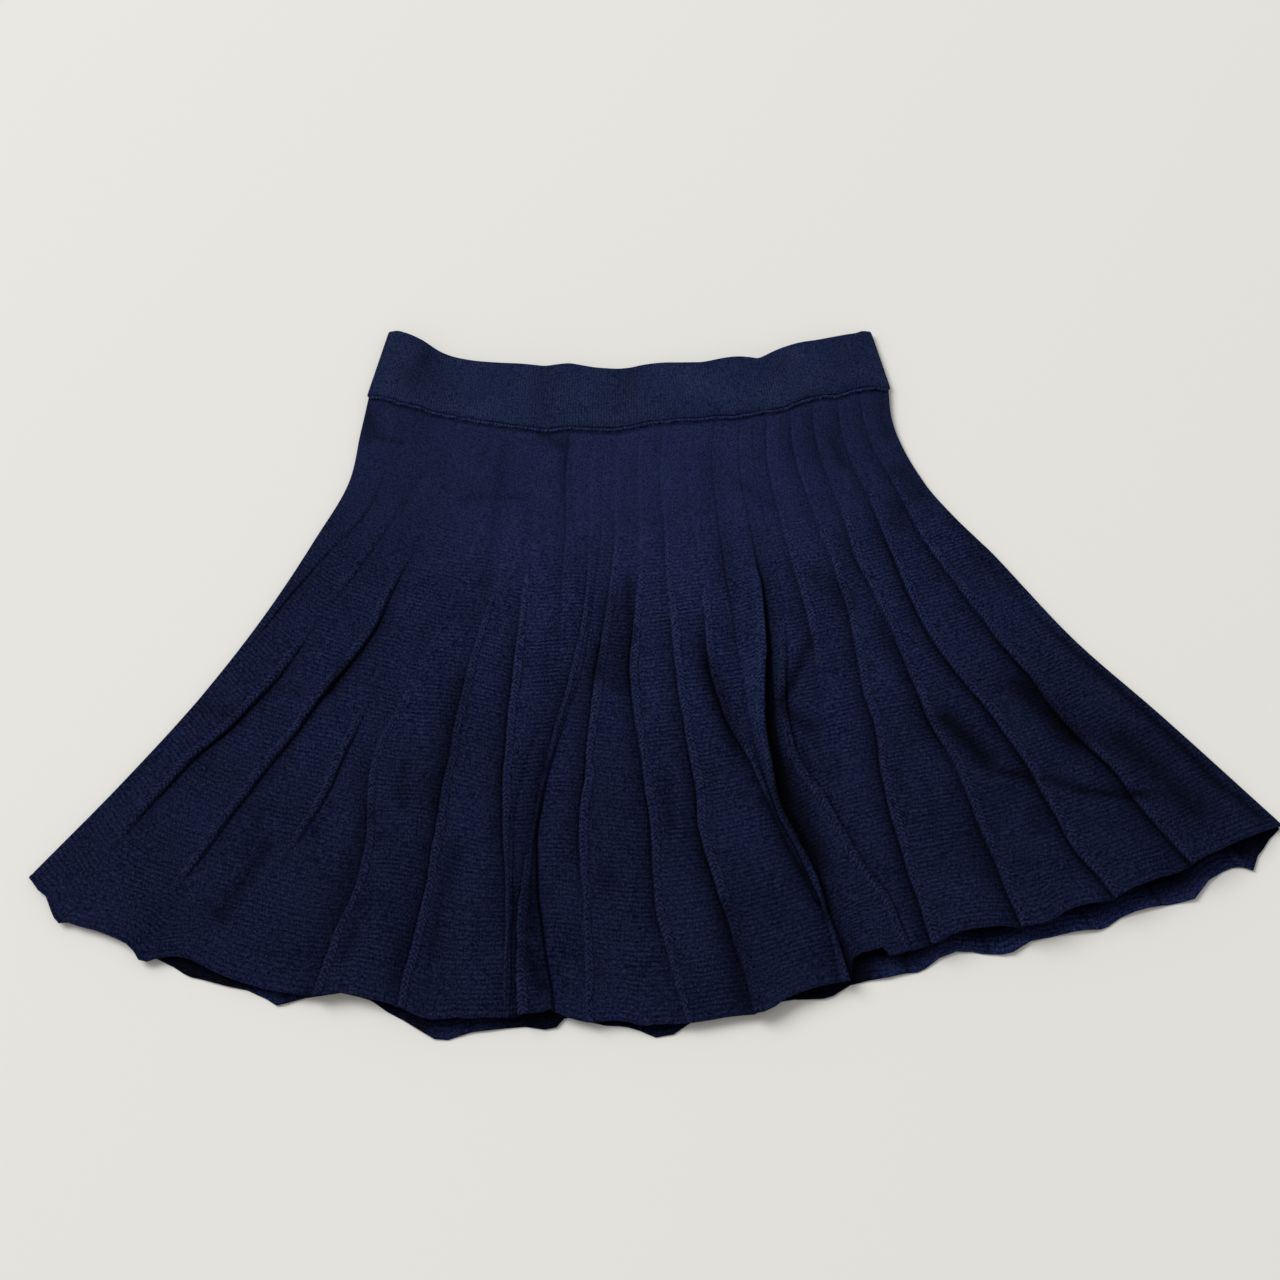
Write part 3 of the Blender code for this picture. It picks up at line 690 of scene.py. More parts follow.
# Height of the rib at the left or at the right of a crease, in millimetres, at the hips, the
# middle and the hem, which are the last three rib levels
RIBS_LEFT_OF = {
    "a": (0.9, 0.0, 0.0), "b": (0.8, 1.7, 1.0), "c": (0.9, 2.0, 1.1), "d": (0.6, 1.5, 1.1),
    "i_low": (0.0, 1.5, 3.0), "o": (0.0, 7.0, 2.0), "o_low": (0.0, 4.0, 2.0),
}
RIBS_RIGHT_OF = {
    "e": (0.8, 1.5, 3.0), "f": (0.9, 2.4, 2.8), "g": (1.0, 2.4, 1.0), "h": (0.9, 0.0, 0.0),
    "i": (1.0, 3.0, 4.0), "j": (1.2, 3.0, 2.0), "k": (1.0, 2.4, 1.8), "l": (1.0, 2.6, 4.0),
    "m": (0.9, 3.5, 4.0), "n": (0.9, 0.0, 0.0), "o": (1.6, 0.0, 0.0), "p": (1.4, 0.4, 0.0),
    "q": (1.0, 2.6, 2.6), "r": (1.2, 3.2, 3.0), "s": (1.2, 2.6, 2.8), "t": (1.3, 3.0, 3.0),
    "u": (0.2, 0.8, 1.0),
}
RIB_LEVELS = (0.0, 0.06, 0.21, 0.615, 1.0)
SHARE_OF_HIP_RIB_NEAR_SEAM = 0.5
RIB_FAR_EDGE = 4.8 * MM
RIB_SHARE_OF_SPAN = 0.5
FALL_POWER = 1.3
LATE_FALL_POWER = 5

# How the panel lies over the back, from its step up to the band down to the hem, with shade painted
# just below the seam roll. The inside of its cloth hangs down as well as in from its face.
FRONT_BASE = 2.5 * MM
LEAST_CLEARANCE = 0.05 * MM
STEP_UP_TO_BAND = 1.2 * MM
SEAM_LIFT_ENDS = 0.16
HEM_LIFT_FROM = 0.60
WALL_HANGS = 1.5
SEAM_SHADE = 0.55
SEAM_SHADE_AT = 3.3 * MM
SEAM_SHADE_HALF_WIDTH = 0.9 * MM
FRONT_COURSES_DOWN = (0.10, 0.34)

# A crease is a groove beside the rib, the rib's fold leans over it, and the plain knit dips to it.
# Its depth from 0 to 9 is uneven along its length, as the cloth was smoothed out by hand.
DEPTH_LEVELS = np.linspace(0.1, 1.0, 10)
CREASE_DEPTHS = {
    "a": (0, 2, 2, 4, 1, 0, 0, 0, 0, 0),
    "b": (0, 1, 2, 0, 4, 8, 6, 3, 0, 0),
    "c": (0, 0, 3, 7, 8, 5, 4, 3, 0, 0),
    "d": (0, 0, 0, 0, 0, 4, 3, 0, 0, 0),
    "e": (0, 0, 1, 1, 1, 4, 6, 5, 6, 4),
    "f": (0, 1, 1, 4, 5, 7, 9, 8, 8, 3),
    "g": (0, 1, 3, 7, 8, 9, 8, 6, 3, 2),
    "h": (4, 4, 3, 2, 1, 1, 1, 1, 1, 1),
    "i": (1, 2, 5, 4, 8, 9, 7, 8, 9, 9),
    "i_low": (1, 2, 1, 0, 0, 4, 9, 8, 7, 5),
    "j": (1, 3, 5, 9, 8, 9, 8, 3, 1, 1),
    "k": (1, 1, 5, 9, 6, 7, 8, 7, 3, 1),
    "l": (2, 4, 2, 6, 7, 8, 9, 9, 5, 4),
    "m": (1, 0, 1, 8, 9, 7, 8, 9, 8, 8),
    "n": (2, 4, 5, 2, 1, 0, 0, 0, 0, 0),
    "o": (2, 3, 7, 9, 9, 9, 9, 7, 6, 6),
    "o_low": (2, 0, 0, 1, 6, 7, 7, 7, 4, 2),
    "p": (4, 3, 5, 5, 2, 1, 0, 0, 0, 0),
    "q": (4, 3, 4, 6, 6, 8, 8, 8, 8, 8),
    "r": (4, 3, 6, 4, 6, 9, 5, 7, 7, 7),
    "s": (4, 5, 8, 8, 8, 8, 8, 8, 8, 7),
    "t": (3, 5, 6, 6, 7, 9, 9, 9, 7, 8),
    "u": (0, 0, 0, 0, 1, 1, 1, 2, 2, 2),
}
DEEPEST = 9.0
CREASES_START_DOWN = 0.03
GROOVE_DEPTH = 1.1 * MM
GROOVE_HALF_WIDTH = 0.6 * MM
GROOVE_HALF_WIDTH_ADDED = 1.1 * MM
LEAST_STANDING = 0.35
STANDING_GROWTH = 2.2
RIB_FOOT = 1.0 * MM
RIB_FOOT_ADDED = 1.6 * MM
LEAN_SHARE = 0.45
MOST_LEAN = 1.7 * MM
LEAN_FROM = 1.2 * MM
LEAN_ENDS = 4.4 * MM
# Painted shade: CREASE_DARKNESS darkens the colour in a crease's groove, and DIP_DARKNESS the plain
# knit's dip beside it
CREASE_DARKNESS = 0.86
DIP_WIDTH = 7.0 * MM
DIP_DEPTH = 0.9 * MM
DIP_DARKNESS = 0.50

# The deepest fold opens to its right: how far, in millimetres, at the depth levels
OPEN_FOLD = "o"
OPEN_FOLD_WIDTHS = (0.0, 0.0, 1.0, 3.0, 6.5, 7.5, 7.5, 5.0, 2.5, 2.0)

# Small creases and soft hollows of the plain knit: thousandths across and down of both ends, half
# width in millimetres and strength, which sets both how deep a hollow sinks and the painted shade in it
HOLLOWS = np.array((
    (69, 525, 100, 527, 1.8, 0.40), (10, 624, 43, 604, 6.0, 0.35), (126, 721, 135, 797, 4.5, 0.35),
    (152, 778, 150, 909, 5.0, 0.50), (123, 455, 126, 505, 4.0, 0.45), (240, 595, 249, 673, 3.0, 0.35),
    (251, 816, 256, 937, 2.0, 0.40), (224, 682, 234, 872, 7.0, 0.35), (272, 455, 284, 663, 6.5, 0.40),
    (315, 721, 320, 900, 5.0, 0.35), (296, 891, 298, 955, 6.0, 0.30), (392, 797, 397, 863, 7.0, 0.50),
    (395, 891, 412, 955, 5.5, 0.60), (445, 373, 441, 424, 5.0, 0.55), (467, 290, 468, 424, 11.0, 0.35),
    (453, 759, 460, 769, 6.0, 0.30), (517, 585, 517, 673, 4.0, 0.40), (558, 835, 563, 982, 8.0, 0.50),
    (580, 414, 599, 565, 6.0, 0.60), (572, 383, 577, 383, 5.0, 0.30), (640, 624, 648, 797, 7.0, 0.60),
    (699, 449, 659, 515, 3.0, 0.75), (721, 414, 699, 449, 3.0, 0.55), (661, 525, 681, 565, 6.0, 0.55),
    (667, 595, 667, 644, 1.8, 0.45), (684, 595, 682, 663, 1.6, 0.30), (764, 300, 783, 362, 8.0, 0.35),
    (748, 682, 743, 721, 2.0, 0.35), (822, 614, 831, 702, 8.0, 0.80), (830, 726, 855, 754, 3.0, 0.75),
    (868, 769, 887, 811, 3.5, 0.65), (887, 811, 931, 863, 3.0, 0.80), (832, 844, 840, 816, 5.0, 0.35),
    (914, 604, 916, 721, 9.0, 0.75), (950, 759, 952, 915, 10.0, 0.58), (778, 853, 774, 909, 6.0, 0.30),
    (811, 424, 807, 525, 6.0, 0.30), (931, 227, 918, 258, 8.0, 0.35), (200, 133, 321, 113, 2.0, 0.32),
    (6, 40, 20, 70, 7.0, 0.45), (25, 76, 80, 70, 2.0, 0.45), (345, 14, 388, 30, 4.5, 0.40),
    (386, 20, 396, 150, 4.0, 0.24), (880, 85, 888, 125, 3.5, 0.35), (126, 107, 106, 182, 2.0, 0.20),
    (244, 40, 234, 70, 2.0, 0.20), (275, 33, 270, 279, 3.5, 0.22), (690, 109, 745, 163, 2.5, 0.25),
    (975, 163, 985, 216, 9.0, 0.35), (985, 20, 988, 90, 6.0, 0.30), (995, 130, 998, 170, 5.0, 0.35),
    (996, 290, 998, 340, 6.0, 0.35), (984, 352, 990, 444, 7.0, 0.30), (487, 250, 484, 360, 3.5, 0.50),
    (983, 450, 989, 545, 2.2, 0.35), (989, 545, 992, 750, 2.6, 0.60), (992, 750, 988, 893, 2.8, 0.60),
    (988, 893, 992, 975, 3.2, 0.50),
))
HOLLOW_DEPTH = 1.5 * MM

# Columns of a span: millimetres from its rib's crease, shares of the plain knit between, and
# millimetres from the other crease
NEAR_RIB = np.array((0.0, 0.5, 1.0, 1.6, 2.4, 3.3, 4.2, 5.0)) * MM
ON_PLAIN = np.array((0.14, 0.29, 0.43, 0.57, 0.71, 0.86))
NEAR_NEXT = np.array((3.2, 2.0, 1.2, 0.6)) * MM
FRONT_ROWS = 96

# The fold at each side: how far each of its columns lies outwards from the panel's edge and up
SIDE_FOLD_STEPS = np.array(((0.35, -0.15), (0.7, -0.65), (0.75, -1.3), (0.35, -1.95))) * MM
SIDE_FOLD_LOWEST = 0.15 * MM


def front_lift(across, down):
    """Height of the front panel's lowest cloth over the back panel, above the gap between them."""
    shares = FRONT_LIFT[:, 0]
    at_seam, at_hips, at_hem = (through(shares, FRONT_LIFT[:, k], across) * MM for k in (1, 2, 3))
    near_seam = 1.0 - smooth_step(0.0, SEAM_LIFT_ENDS, down)
    near_hem = smooth_step(HEM_LIFT_FROM, 1.0, down)
    lift = at_hips + (at_seam + STEP_UP_TO_BAND - at_hips) * near_seam + (at_hem - at_hips) * near_hem
    return np.maximum(lift, 0.0)


def rib_height(heights, name, down):
    """Height of one rib over its crease in each row, in metres."""
    hips, middle, hem = heights.get(name, (0.0, 0.0, 0.0))
    near_seam = SHARE_OF_HIP_RIB_NEAR_SEAM * hips
    return np.maximum(through(RIB_LEVELS, (0.0, near_seam, hips, middle, hem), down), 0.0) * MM


# A span is the knit between two creases, or between a crease and an edge. It may rise at both ends,
# and its own rib is at its start, the left end, where the heights there add up to no less than
# those at its right end.
CREASE_NAMES = [None, *CREASES, None]
RIB_STARTS_SPAN = [
    sum(RIBS_RIGHT_OF.get(low, (0, 0, 0))) >= sum(RIBS_LEFT_OF.get(high, (0, 0, 0)))
    for low, high in zip(CREASE_NAMES[:-1], CREASE_NAMES[1:])
]


def span_rows(span, down):
    """Shares across of a span's rib crease and other crease, its width and its rib's scale."""
    creases = crease_rows(down)
    low, high = creases[..., span], creases[..., span + 1]
    width = (high - low) * panel_width(down)
    scale = np.minimum(RIB_FAR_EDGE, RIB_SHARE_OF_SPAN * width) / RIB_FAR_EDGE
    return (low, high, width, scale) if RIB_STARTS_SPAN[span] else (high, low, width, scale)


def crease_depth(name, down):
    """How deep a crease is in each row, from 0 to 1."""
    if name is None:
        return np.zeros_like(down)
    deep = through(DEPTH_LEVELS, CREASE_DEPTHS[name], down) * smooth_step(0.0, CREASES_START_DOWN, down)
    return np.clip(deep / DEEPEST, 0.0, 1.0)


def standing(depth):
    """Share of a rib's height beside a crease this deep: low where the crease is smoothed out."""
    return LEAST_STANDING + (1.0 - LEAST_STANDING) * np.minimum(STANDING_GROWTH * depth, 1.0)


HOLLOW_FROM = panel_plan(HOLLOWS[:, 0] / 1000, HOLLOWS[:, 1] / 1000, FRONT_HEM_DIPS)
HOLLOW_TO = panel_plan(HOLLOWS[:, 2] / 1000, HOLLOWS[:, 3] / 1000, FRONT_HEM_DIPS)


def hollow(plan):
    """How far into a hollow each point lies, from 0 to 1: the largest, over all the hollows, of
    strength times a bell of the distance from its line over its half width."""
    deepest = np.zeros(plan.shape[:-1])
    for start, end, values in zip(HOLLOW_FROM, HOLLOW_TO, HOLLOWS):
        run = end - start
        share = np.clip((plan - start) @ run / (run @ run), 0.0, 1.0)
        away = np.linalg.norm(plan - start - share[..., None] * run, axis=-1)
        deepest = np.maximum(deepest, values[5] * bell(away / (values[4] * MM)))
    return deepest


def fall(t):
    """The knit's fall from a rib to the next crease: partly even, partly late and steep."""
    return 0.5 * (1.0 - t) ** FALL_POWER + 0.5 * (1.0 - t ** LATE_FALL_POWER)


def risen(distance, depth, scale):
    """Share of a rib's height that is reached this far from its crease, over the rib's foot."""
    foot = (RIB_FOOT + RIB_FOOT_ADDED * (1.0 - depth)) * scale
    return smooth_step(0.0, 1.0, distance / foot)


def in_groove(distance, depth):
    """How far into a crease's groove a point lies: the crease's depth, less with distance."""
    half_width = GROOVE_HALF_WIDTH + GROOVE_HALF_WIDTH_ADDED * depth
    return depth * (1.0 - smooth_step(0.0, 1.0, distance / half_width))


def front_point(span, from_rib, down):
    """Points of the front panel's face at a distance in metres from the crease beside the rib.

    The height is the lift of the panel, plus the rib's height, which stands less beside a
    smoothed-out crease, rises over the foot of the rib and then falls, plus the cloth's rise out
    of the grooves at both creases, less the plain knit's dip beside them and the hollows. The
    rib's fold leans back over its crease. Returns the points, the painted light and shade of each
    one, and its share across.
    """
    near, far, width, scale = span_rows(span, down)
    starts = RIB_STARTS_SPAN[span]
    from_far = width - from_rib
    from_low, from_high = (from_rib, from_far) if starts else (from_far, from_rib)
    low_name, high_name = CREASE_NAMES[span], CREASE_NAMES[span + 1]
    deep_low, deep_high = crease_depth(low_name, down), crease_depth(high_name, down)
    rib_low = rib_height(RIBS_RIGHT_OF, low_name, down) * standing(deep_low)
    rib_high = rib_height(RIBS_LEFT_OF, high_name, down) * standing(deep_high)
    gap = np.zeros_like(down)
    if low_name == OPEN_FOLD:
        gap = np.maximum(through(DEPTH_LEVELS, OPEN_FOLD_WIDTHS, down), 0.0) * MM * scale
    past_gap = np.maximum(from_low - gap, 0.0)
    t = np.clip(from_low / width, 0.0, 1.0)
    up_low, up_high = risen(past_gap, deep_low, scale), risen(from_high, deep_high, scale)
    pleat = np.maximum(rib_low * up_low * fall(t), rib_high * up_high * fall(1.0 - t))
    crease = np.maximum(in_groove(past_gap, deep_low), in_groove(from_high, deep_high))
    dip = deep_high * bell(from_high / DIP_WIDTH) if starts else deep_low * bell(past_gap / DIP_WIDTH)
    own_rib, up, deep_near = (rib_low, up_low, deep_low) if starts else (rib_high, up_high, deep_high)
    lean = np.minimum(LEAN_SHARE * own_rib, MOST_LEAN) * up * deep_near
    lean = lean * (1.0 - smooth_step(LEAN_FROM, LEAN_ENDS, from_rib / scale))
    across = np.clip(near + (from_rib - lean) / width * (far - near), 0.0, 1.0)
    plan = panel_plan(across, down, FRONT_HEM_DIPS)
    sunk = hollow(plan)
    z = front_lift(across, down) + pleat + GROOVE_DEPTH * (1.0 - crease)
    z = z - DIP_DEPTH * dip - HOLLOW_DEPTH * sunk
    z = FRONT_BASE + np.maximum(z, 0.0) + hem_relief(down)
    # Painted shade: darker in the grooves, the dips and the hollows and just below the seam roll, times
    # the painted fall-off of light
    under_roll = bell((down * PANEL_LENGTH - SEAM_SHADE_AT) / SEAM_SHADE_HALF_WIDTH)
    light = (1.0 - CREASE_DARKNESS * crease) * (1.0 - DIP_DARKNESS * dip) * (1.0 - sunk)
    light = light * (1.0 - SEAM_SHADE * under_roll) * knit_tone_and_painted_light(across, down)
    return at_height(plan, z), light, across


def side_fold(edge, outward):
    """The fold at a side of the body: four columns that bulge outwards and curl down to the back.

    edge holds the front panel's own edge points and outward the unit directions away from it.
    """
    points = np.repeat(edge[:, None], len(SIDE_FOLD_STEPS), axis=1)
    points[..., :2] += outward[:, None] * SIDE_FOLD_STEPS[:, 0][None, :, None]
    points[..., 2] = np.maximum(points[..., 2] + SIDE_FOLD_STEPS[:, 1], SIDE_FOLD_LOWEST)
    return points


def front_panel():
    """The front panel's face from its spans, with a fold at each side, and the inside of the cloth
    a wall's thickness away, down and along its normals."""
    rows = panel_rows(FRONT_ROWS)
    parts = []
    for span, starts in enumerate(RIB_STARTS_SPAN):
        width, scale = span_rows(span, rows)[2:]
        from_rib = NEAR_RIB[None, :] * scale[:, None]
        to_next = width[:, None] - NEAR_NEXT[None, :] * scale[:, None]
        first, last = from_rib[:, -1:], to_next[:, :1]
        plain = first + ON_PLAIN[None, :] * (last - first)
        distance = np.concatenate([from_rib, plain, to_next, width[:, None]], axis=1)
        distance = distance[:, :-1] if starts else distance[:, :0:-1]
        parts.append(front_point(span, distance, np.broadcast_to(rows[:, None], distance.shape)))
    down = rows[:, None]
    last_span = len(RIB_STARTS_SPAN) - 1
    to_edge = span_rows(last_span, down)[2] if RIB_STARTS_SPAN[last_span] else np.zeros_like(down)
    parts.append(front_point(last_span, to_edge, down))
    top, light, across = (np.concatenate(values, axis=1) for values in zip(*parts))
    folds = []
    for column, turn in ((0, 1.0), (-1, -1.0)):
        edge = top[:, column]
        along = np.gradient(edge[:, :2], axis=0)
        outward = turn * np.stack([along[:, 1], -along[:, 0]], axis=-1)
        outward /= np.linalg.norm(outward, axis=-1, keepdims=True)
        folds.append(side_fold(edge, outward))
    top = np.concatenate([folds[0][:, ::-1], top, folds[1]], axis=1)
    fold_columns = (len(SIDE_FOLD_STEPS), len(SIDE_FOLD_STEPS))
    light, across = (np.pad(values, ((0, 0), fold_columns), mode="edge") for values in (light, across))
    down = np.broadcast_to(down, light.shape)
    inwards = grid_normals(top) + np.array((0.0, 0.0, WALL_HANGS))
    bottom = top - CLOTH_WALL * inwards / np.linalg.norm(inwards, axis=-1, keepdims=True)
    bottom[..., 2] = np.maximum(bottom[..., 2], LEAST_CLEARANCE)
    uv = np.stack([across * panel_width(down), course_at(down)], axis=-1)
    marks = {"light": light, "courses": smooth_step(*FRONT_COURSES_DOWN, down)}
    return cloth_mesh("front_panel", top, bottom, uv, marks, BODY_KNIT)


front = front_panel()
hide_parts("skirt_front_left", "skirt_front_middle", "skirt_front_right", "skirt_front_edge")


# Face ribs: in each rib a few columns of stitches are knitted right side out, so they stand up as
# a cord of small V shapes, one for each course of the ridged knit. They are part of the front
# panel's knit and are made here as flat cords of stitches sunk a little into its face.
RIB_MIDDLE = 2.9 * MM
RIB_HALF_WIDTH = 2.5 * MM
RIB_RISE = 0.60 * MM
RIB_RISE_AT_SEAM = 0.05 * MM
RIB_SINK = 0.35 * MM
RIB_SEAT = 0.12 * MM
STITCH_SHARE = 0.22
STITCH_LEAN = 1.1
VALLEY_HALF_WIDTH = 0.22
VALLEY_SHARE = 0.30
RIB_TOP_SHARES = (0.02, 0.075)
RIB_LINES = np.array((-1.0, -0.72, -0.38, 0.0, 0.38, 0.72, 1.0))
ROWS_PER_COURSE = 4
RIB_ENDS_ABOVE_HEM = 0.3 * MM
RIB_SHOWN_DOWN = (0.08, 0.34)
RIB_SHOWN_HEIGHTS = (0.2 * MM, 1.2 * MM)
RIB_UNDERSIDE_LIGHT = 0.3
RIB_COURSE_SHIFT = 1.7
RIB_NAMES = ("face_ribs_left", "face_ribs_right")
RIBS_IN_LEFT = 10
LEAST_RIB_WITH_CORD = 1.0

# Slow changes along a rib: size, turns in radians over its length and shift from span to span
RIB_WANDERS = ((0.12, 7.0 * TURN, 0.37 * TURN), (0.09, 91.0, 1.0))
RIB_THICKENS = ((0.14, 4.3 * TURN, 0.21 * TURN), (0.10, 157.0, 2.0))
STITCH_DRIFTS = ((0.3, 63.0, 0.0),)


def slow_sines(table, down, span):
    """Sum of sines of the share down: size times the sine of turns times down, plus the shift."""
    return sum(size * np.sin(turns * down + shift * span) for size, turns, shift in table)


def rib_table(span):
    """The table that holds a span's rib, and the name of the crease beside it."""
    starts = RIB_STARTS_SPAN[span]
    return RIBS_RIGHT_OF if starts else RIBS_LEFT_OF, CREASE_NAMES[span + 1 - starts]


def rib_cord(span, number):
    """Points of one rib's cord, as rings of its seven face lines and one line underneath.

    The face rises as a dome over its width, 1 less the fourth power, less a bell-shaped valley
    along its middle. Stitches add a cosine of the course count whose phase grows with the
    distance from the middle. Sines along the rib make it thicker and thinner.
    """
    start = RIB_TOP_SHARES[number % 2]
    count = int(course_at(1.0) * ROWS_PER_COURSE * (1.0 - start))
    down = np.linspace(start, 1.0 - RIB_ENDS_ABOVE_HEM / PANEL_LENGTH, count)[:, None]
    scale = span_rows(span, down)[3]
    uneven = slow_sines(RIB_WANDERS, down, span)
    thick = 1.0 + slow_sines(RIB_THICKENS, down, span)
    out = (RIB_MIDDLE + (RIB_LINES[None, :] * thick + uneven) * RIB_HALF_WIDTH) * scale
    base, light = front_point(span, out, np.broadcast_to(down, out.shape))[:2]
    normal = grid_normals(base)
    normal = normal * np.sign(normal[..., 2:])
    side = np.abs(RIB_LINES[None, :])
    middle = 1.0 - side ** 4
    valley = 1.0 - VALLEY_SHARE * bell(side / VALLEY_HALF_WIDTH)
    turns = course_at(down) + slow_sines(STITCH_DRIFTS, down, span) - STITCH_LEAN * side
    stitch = 1.0 - STITCH_SHARE * (0.5 - 0.5 * np.cos(TURN * turns))
    heights, name = rib_table(span)
    stands = rib_height(heights, name, down) * standing(crease_depth(name, down))
    shown = smooth_step(*RIB_SHOWN_DOWN, down) * smooth_step(*RIB_SHOWN_HEIGHTS, stands)
    rise = (RIB_RISE_AT_SEAM + (RIB_RISE - RIB_RISE_AT_SEAM) * shown) * thick
    height = rise * middle * valley * stitch - RIB_SEAT * (1.0 - middle) - 0.5 * RIB_SINK * (1.0 - shown)
    face = base + normal * height[..., None]
    below = base[:, 3] - normal[:, 3] * RIB_SINK
    rings = np.concatenate([face, below[:, None]], axis=1)
    place = RIB_LINES[None, :] * RIB_HALF_WIDTH * np.ones_like(down)
    course = np.broadcast_to(course_at(down) + RIB_COURSE_SHIFT * span, place.shape)
    uv = np.stack([place, course], axis=-1)
    uv = np.concatenate([uv, uv[:, 3:4]], axis=1)
    # The line underneath the cord gets painted shade
    light = np.concatenate([light, RIB_UNDERSIDE_LIGHT * np.ones_like(down)], axis=1)
    return rings, uv, light, np.broadcast_to(shown, light.shape)


def ring_faces(rows, sides, first):
    """Four-sided faces of a tube of rings, closed at both ends by faces across its first lines."""
    index = first + np.arange(rows * sides).reshape(rows, sides)
    beside = np.roll(index, -1, axis=1)
    wall = np.stack([index[:-1], index[1:], beside[1:], beside[:-1]], axis=-1).reshape(-1, 4)
    caps = []
    for ring, step in ((index[0], 1), (index[-1], -1)):
        for k in range(sides // 2 - 1):
            corner = [ring[k], ring[k + 1], ring[-k - 2], ring[-k - 1]]
            caps.append(corner[::step])
    return np.concatenate([wall, np.array(caps)])


# The ribs' knit, in the same kinds of values as the body's
RIB_BRIGHTNESS = 1.20
LOOP_DRIFT = ((330.0, 0.7), (110.0, 0.6))
LOOP_BUMP = (0.40 * MM, 0.8)
RIB_FUZZ = (900.0, 3.0)
RIB_FUZZ_BUMP = (0.40 * MM, 0.7)
VALLEY_STEEPNESS = 3.0
VALLEY_SHADE = (0.25, 0.78)
LOOP_SHADE = (1.05, 0.50)
RIB_SPECKS = (700.0, 2.0, 4.8, -1.4)
HIDDEN_RIB_SHADE = 0.97


def rib_knit():
    """The ribs' stitches: one V shape a course, whose legs of yarn slant out from the middle.

    The V is a cosine of the course count less a lean with the distance from the middle,
    broken by noise, with bright specks where single loops catch the light.
    """
    s = Shading("rib_knit")
    side, course = s.knit_place()
    leg = s.math("ABSOLUTE", s.math("DIVIDE", side, RIB_HALF_WIDTH))
    legs = s.ridge(s.add(s.spread(leg, -STITCH_LEAN, course), s.drift(*LOOP_DRIFT)))
    normal = s.bump(legs, *LOOP_BUMP)
    normal = s.bump(s.noise(*RIB_FUZZ), *RIB_FUZZ_BUMP, normal)
    valley = s.spread(s.math("MINIMUM", s.times(leg, VALLEY_STEEPNESS), 1.0), *VALLEY_SHADE)
    loops = s.times(s.spread(legs, *LOOP_SHADE), valley)
    shade = s.blend(s.mark("shown"), HIDDEN_RIB_SHADE, s.times(loops, RIB_BRIGHTNESS))
    pattern = s.times(shade, s.pattern(*RIB_SPECKS))
    return s.finish(s.mottle(BODY_NAVY, FIBRE_AND_SHADE_CHANGE, pattern, s.mark("light")), normal)


RIB_KNIT = rib_knit()


def face_ribs(name, spans):
    """One mesh of the rib cords in these spans."""
    parts, faces, first = [], [], 0
    for number, span in enumerate(spans):
        rings, uv, light, shown = rib_cord(span, number)
        rows, sides = rings.shape[:2]
        faces.append(ring_faces(rows, sides, first))
        parts.append((rings.reshape(-1, 3), uv.reshape(-1, 2), light.reshape(-1), shown.reshape(-1)))
        first += rows * sides
    points, uvs, light, shown = (np.concatenate(values) for values in zip(*parts))
    marks = {"light": light, "shown": shown}
    return knit_object(name, points, np.concatenate(faces), uvs, marks, RIB_KNIT)


def highest_rib(span):
    """The largest height given for a span's rib, in millimetres."""
    heights, name = rib_table(span)
    return max(heights.get(name, (0.0,)))


RIB_SPANS = [span for span in range(len(RIB_STARTS_SPAN)) if highest_rib(span) > LEAST_RIB_WITH_CORD]
RIB_HALVES = (RIB_SPANS[:RIBS_IN_LEFT], RIB_SPANS[RIBS_IN_LEFT:])
ribs = [face_ribs(name, half) for name, half in zip(RIB_NAMES, RIB_HALVES)]


# Waist seam: band and body are linked loop by loop, which leaves a thin rolled ridge of twisted
# loops along the join. It wanders a little, as a hand-fed linked seam does.
ROLL_RADIUS = 1.1 * MM
ROLL_BELOW_SEAM = 1.6 * MM
ROLL_LOOP = 2.3 * MM
ROLL_SIDES = 10
ROLL_ROWS = 720
ROLL_ENDS = (0.004, 0.996)
ROLL_SWELL = 0.12
ROLL_HEIGHT = 1.3 * MM
ROLL_RIPPLE = 0.25 * MM
ROLL_RIPPLES = 31.0
# Painted highlight along the roll, stronger and weaker as each loop winds round it
ROLL_LIGHT = 1.45
ROLL_LOOP_LIGHT = 0.30
ROLL_SHOWN = 0.15

# Its wander: size in millimetres, waves over its length and where each starts, in radians
ROLL_WANDER = ((0.24, 19.0, 1.7), (0.20, 41.0, 4.0))


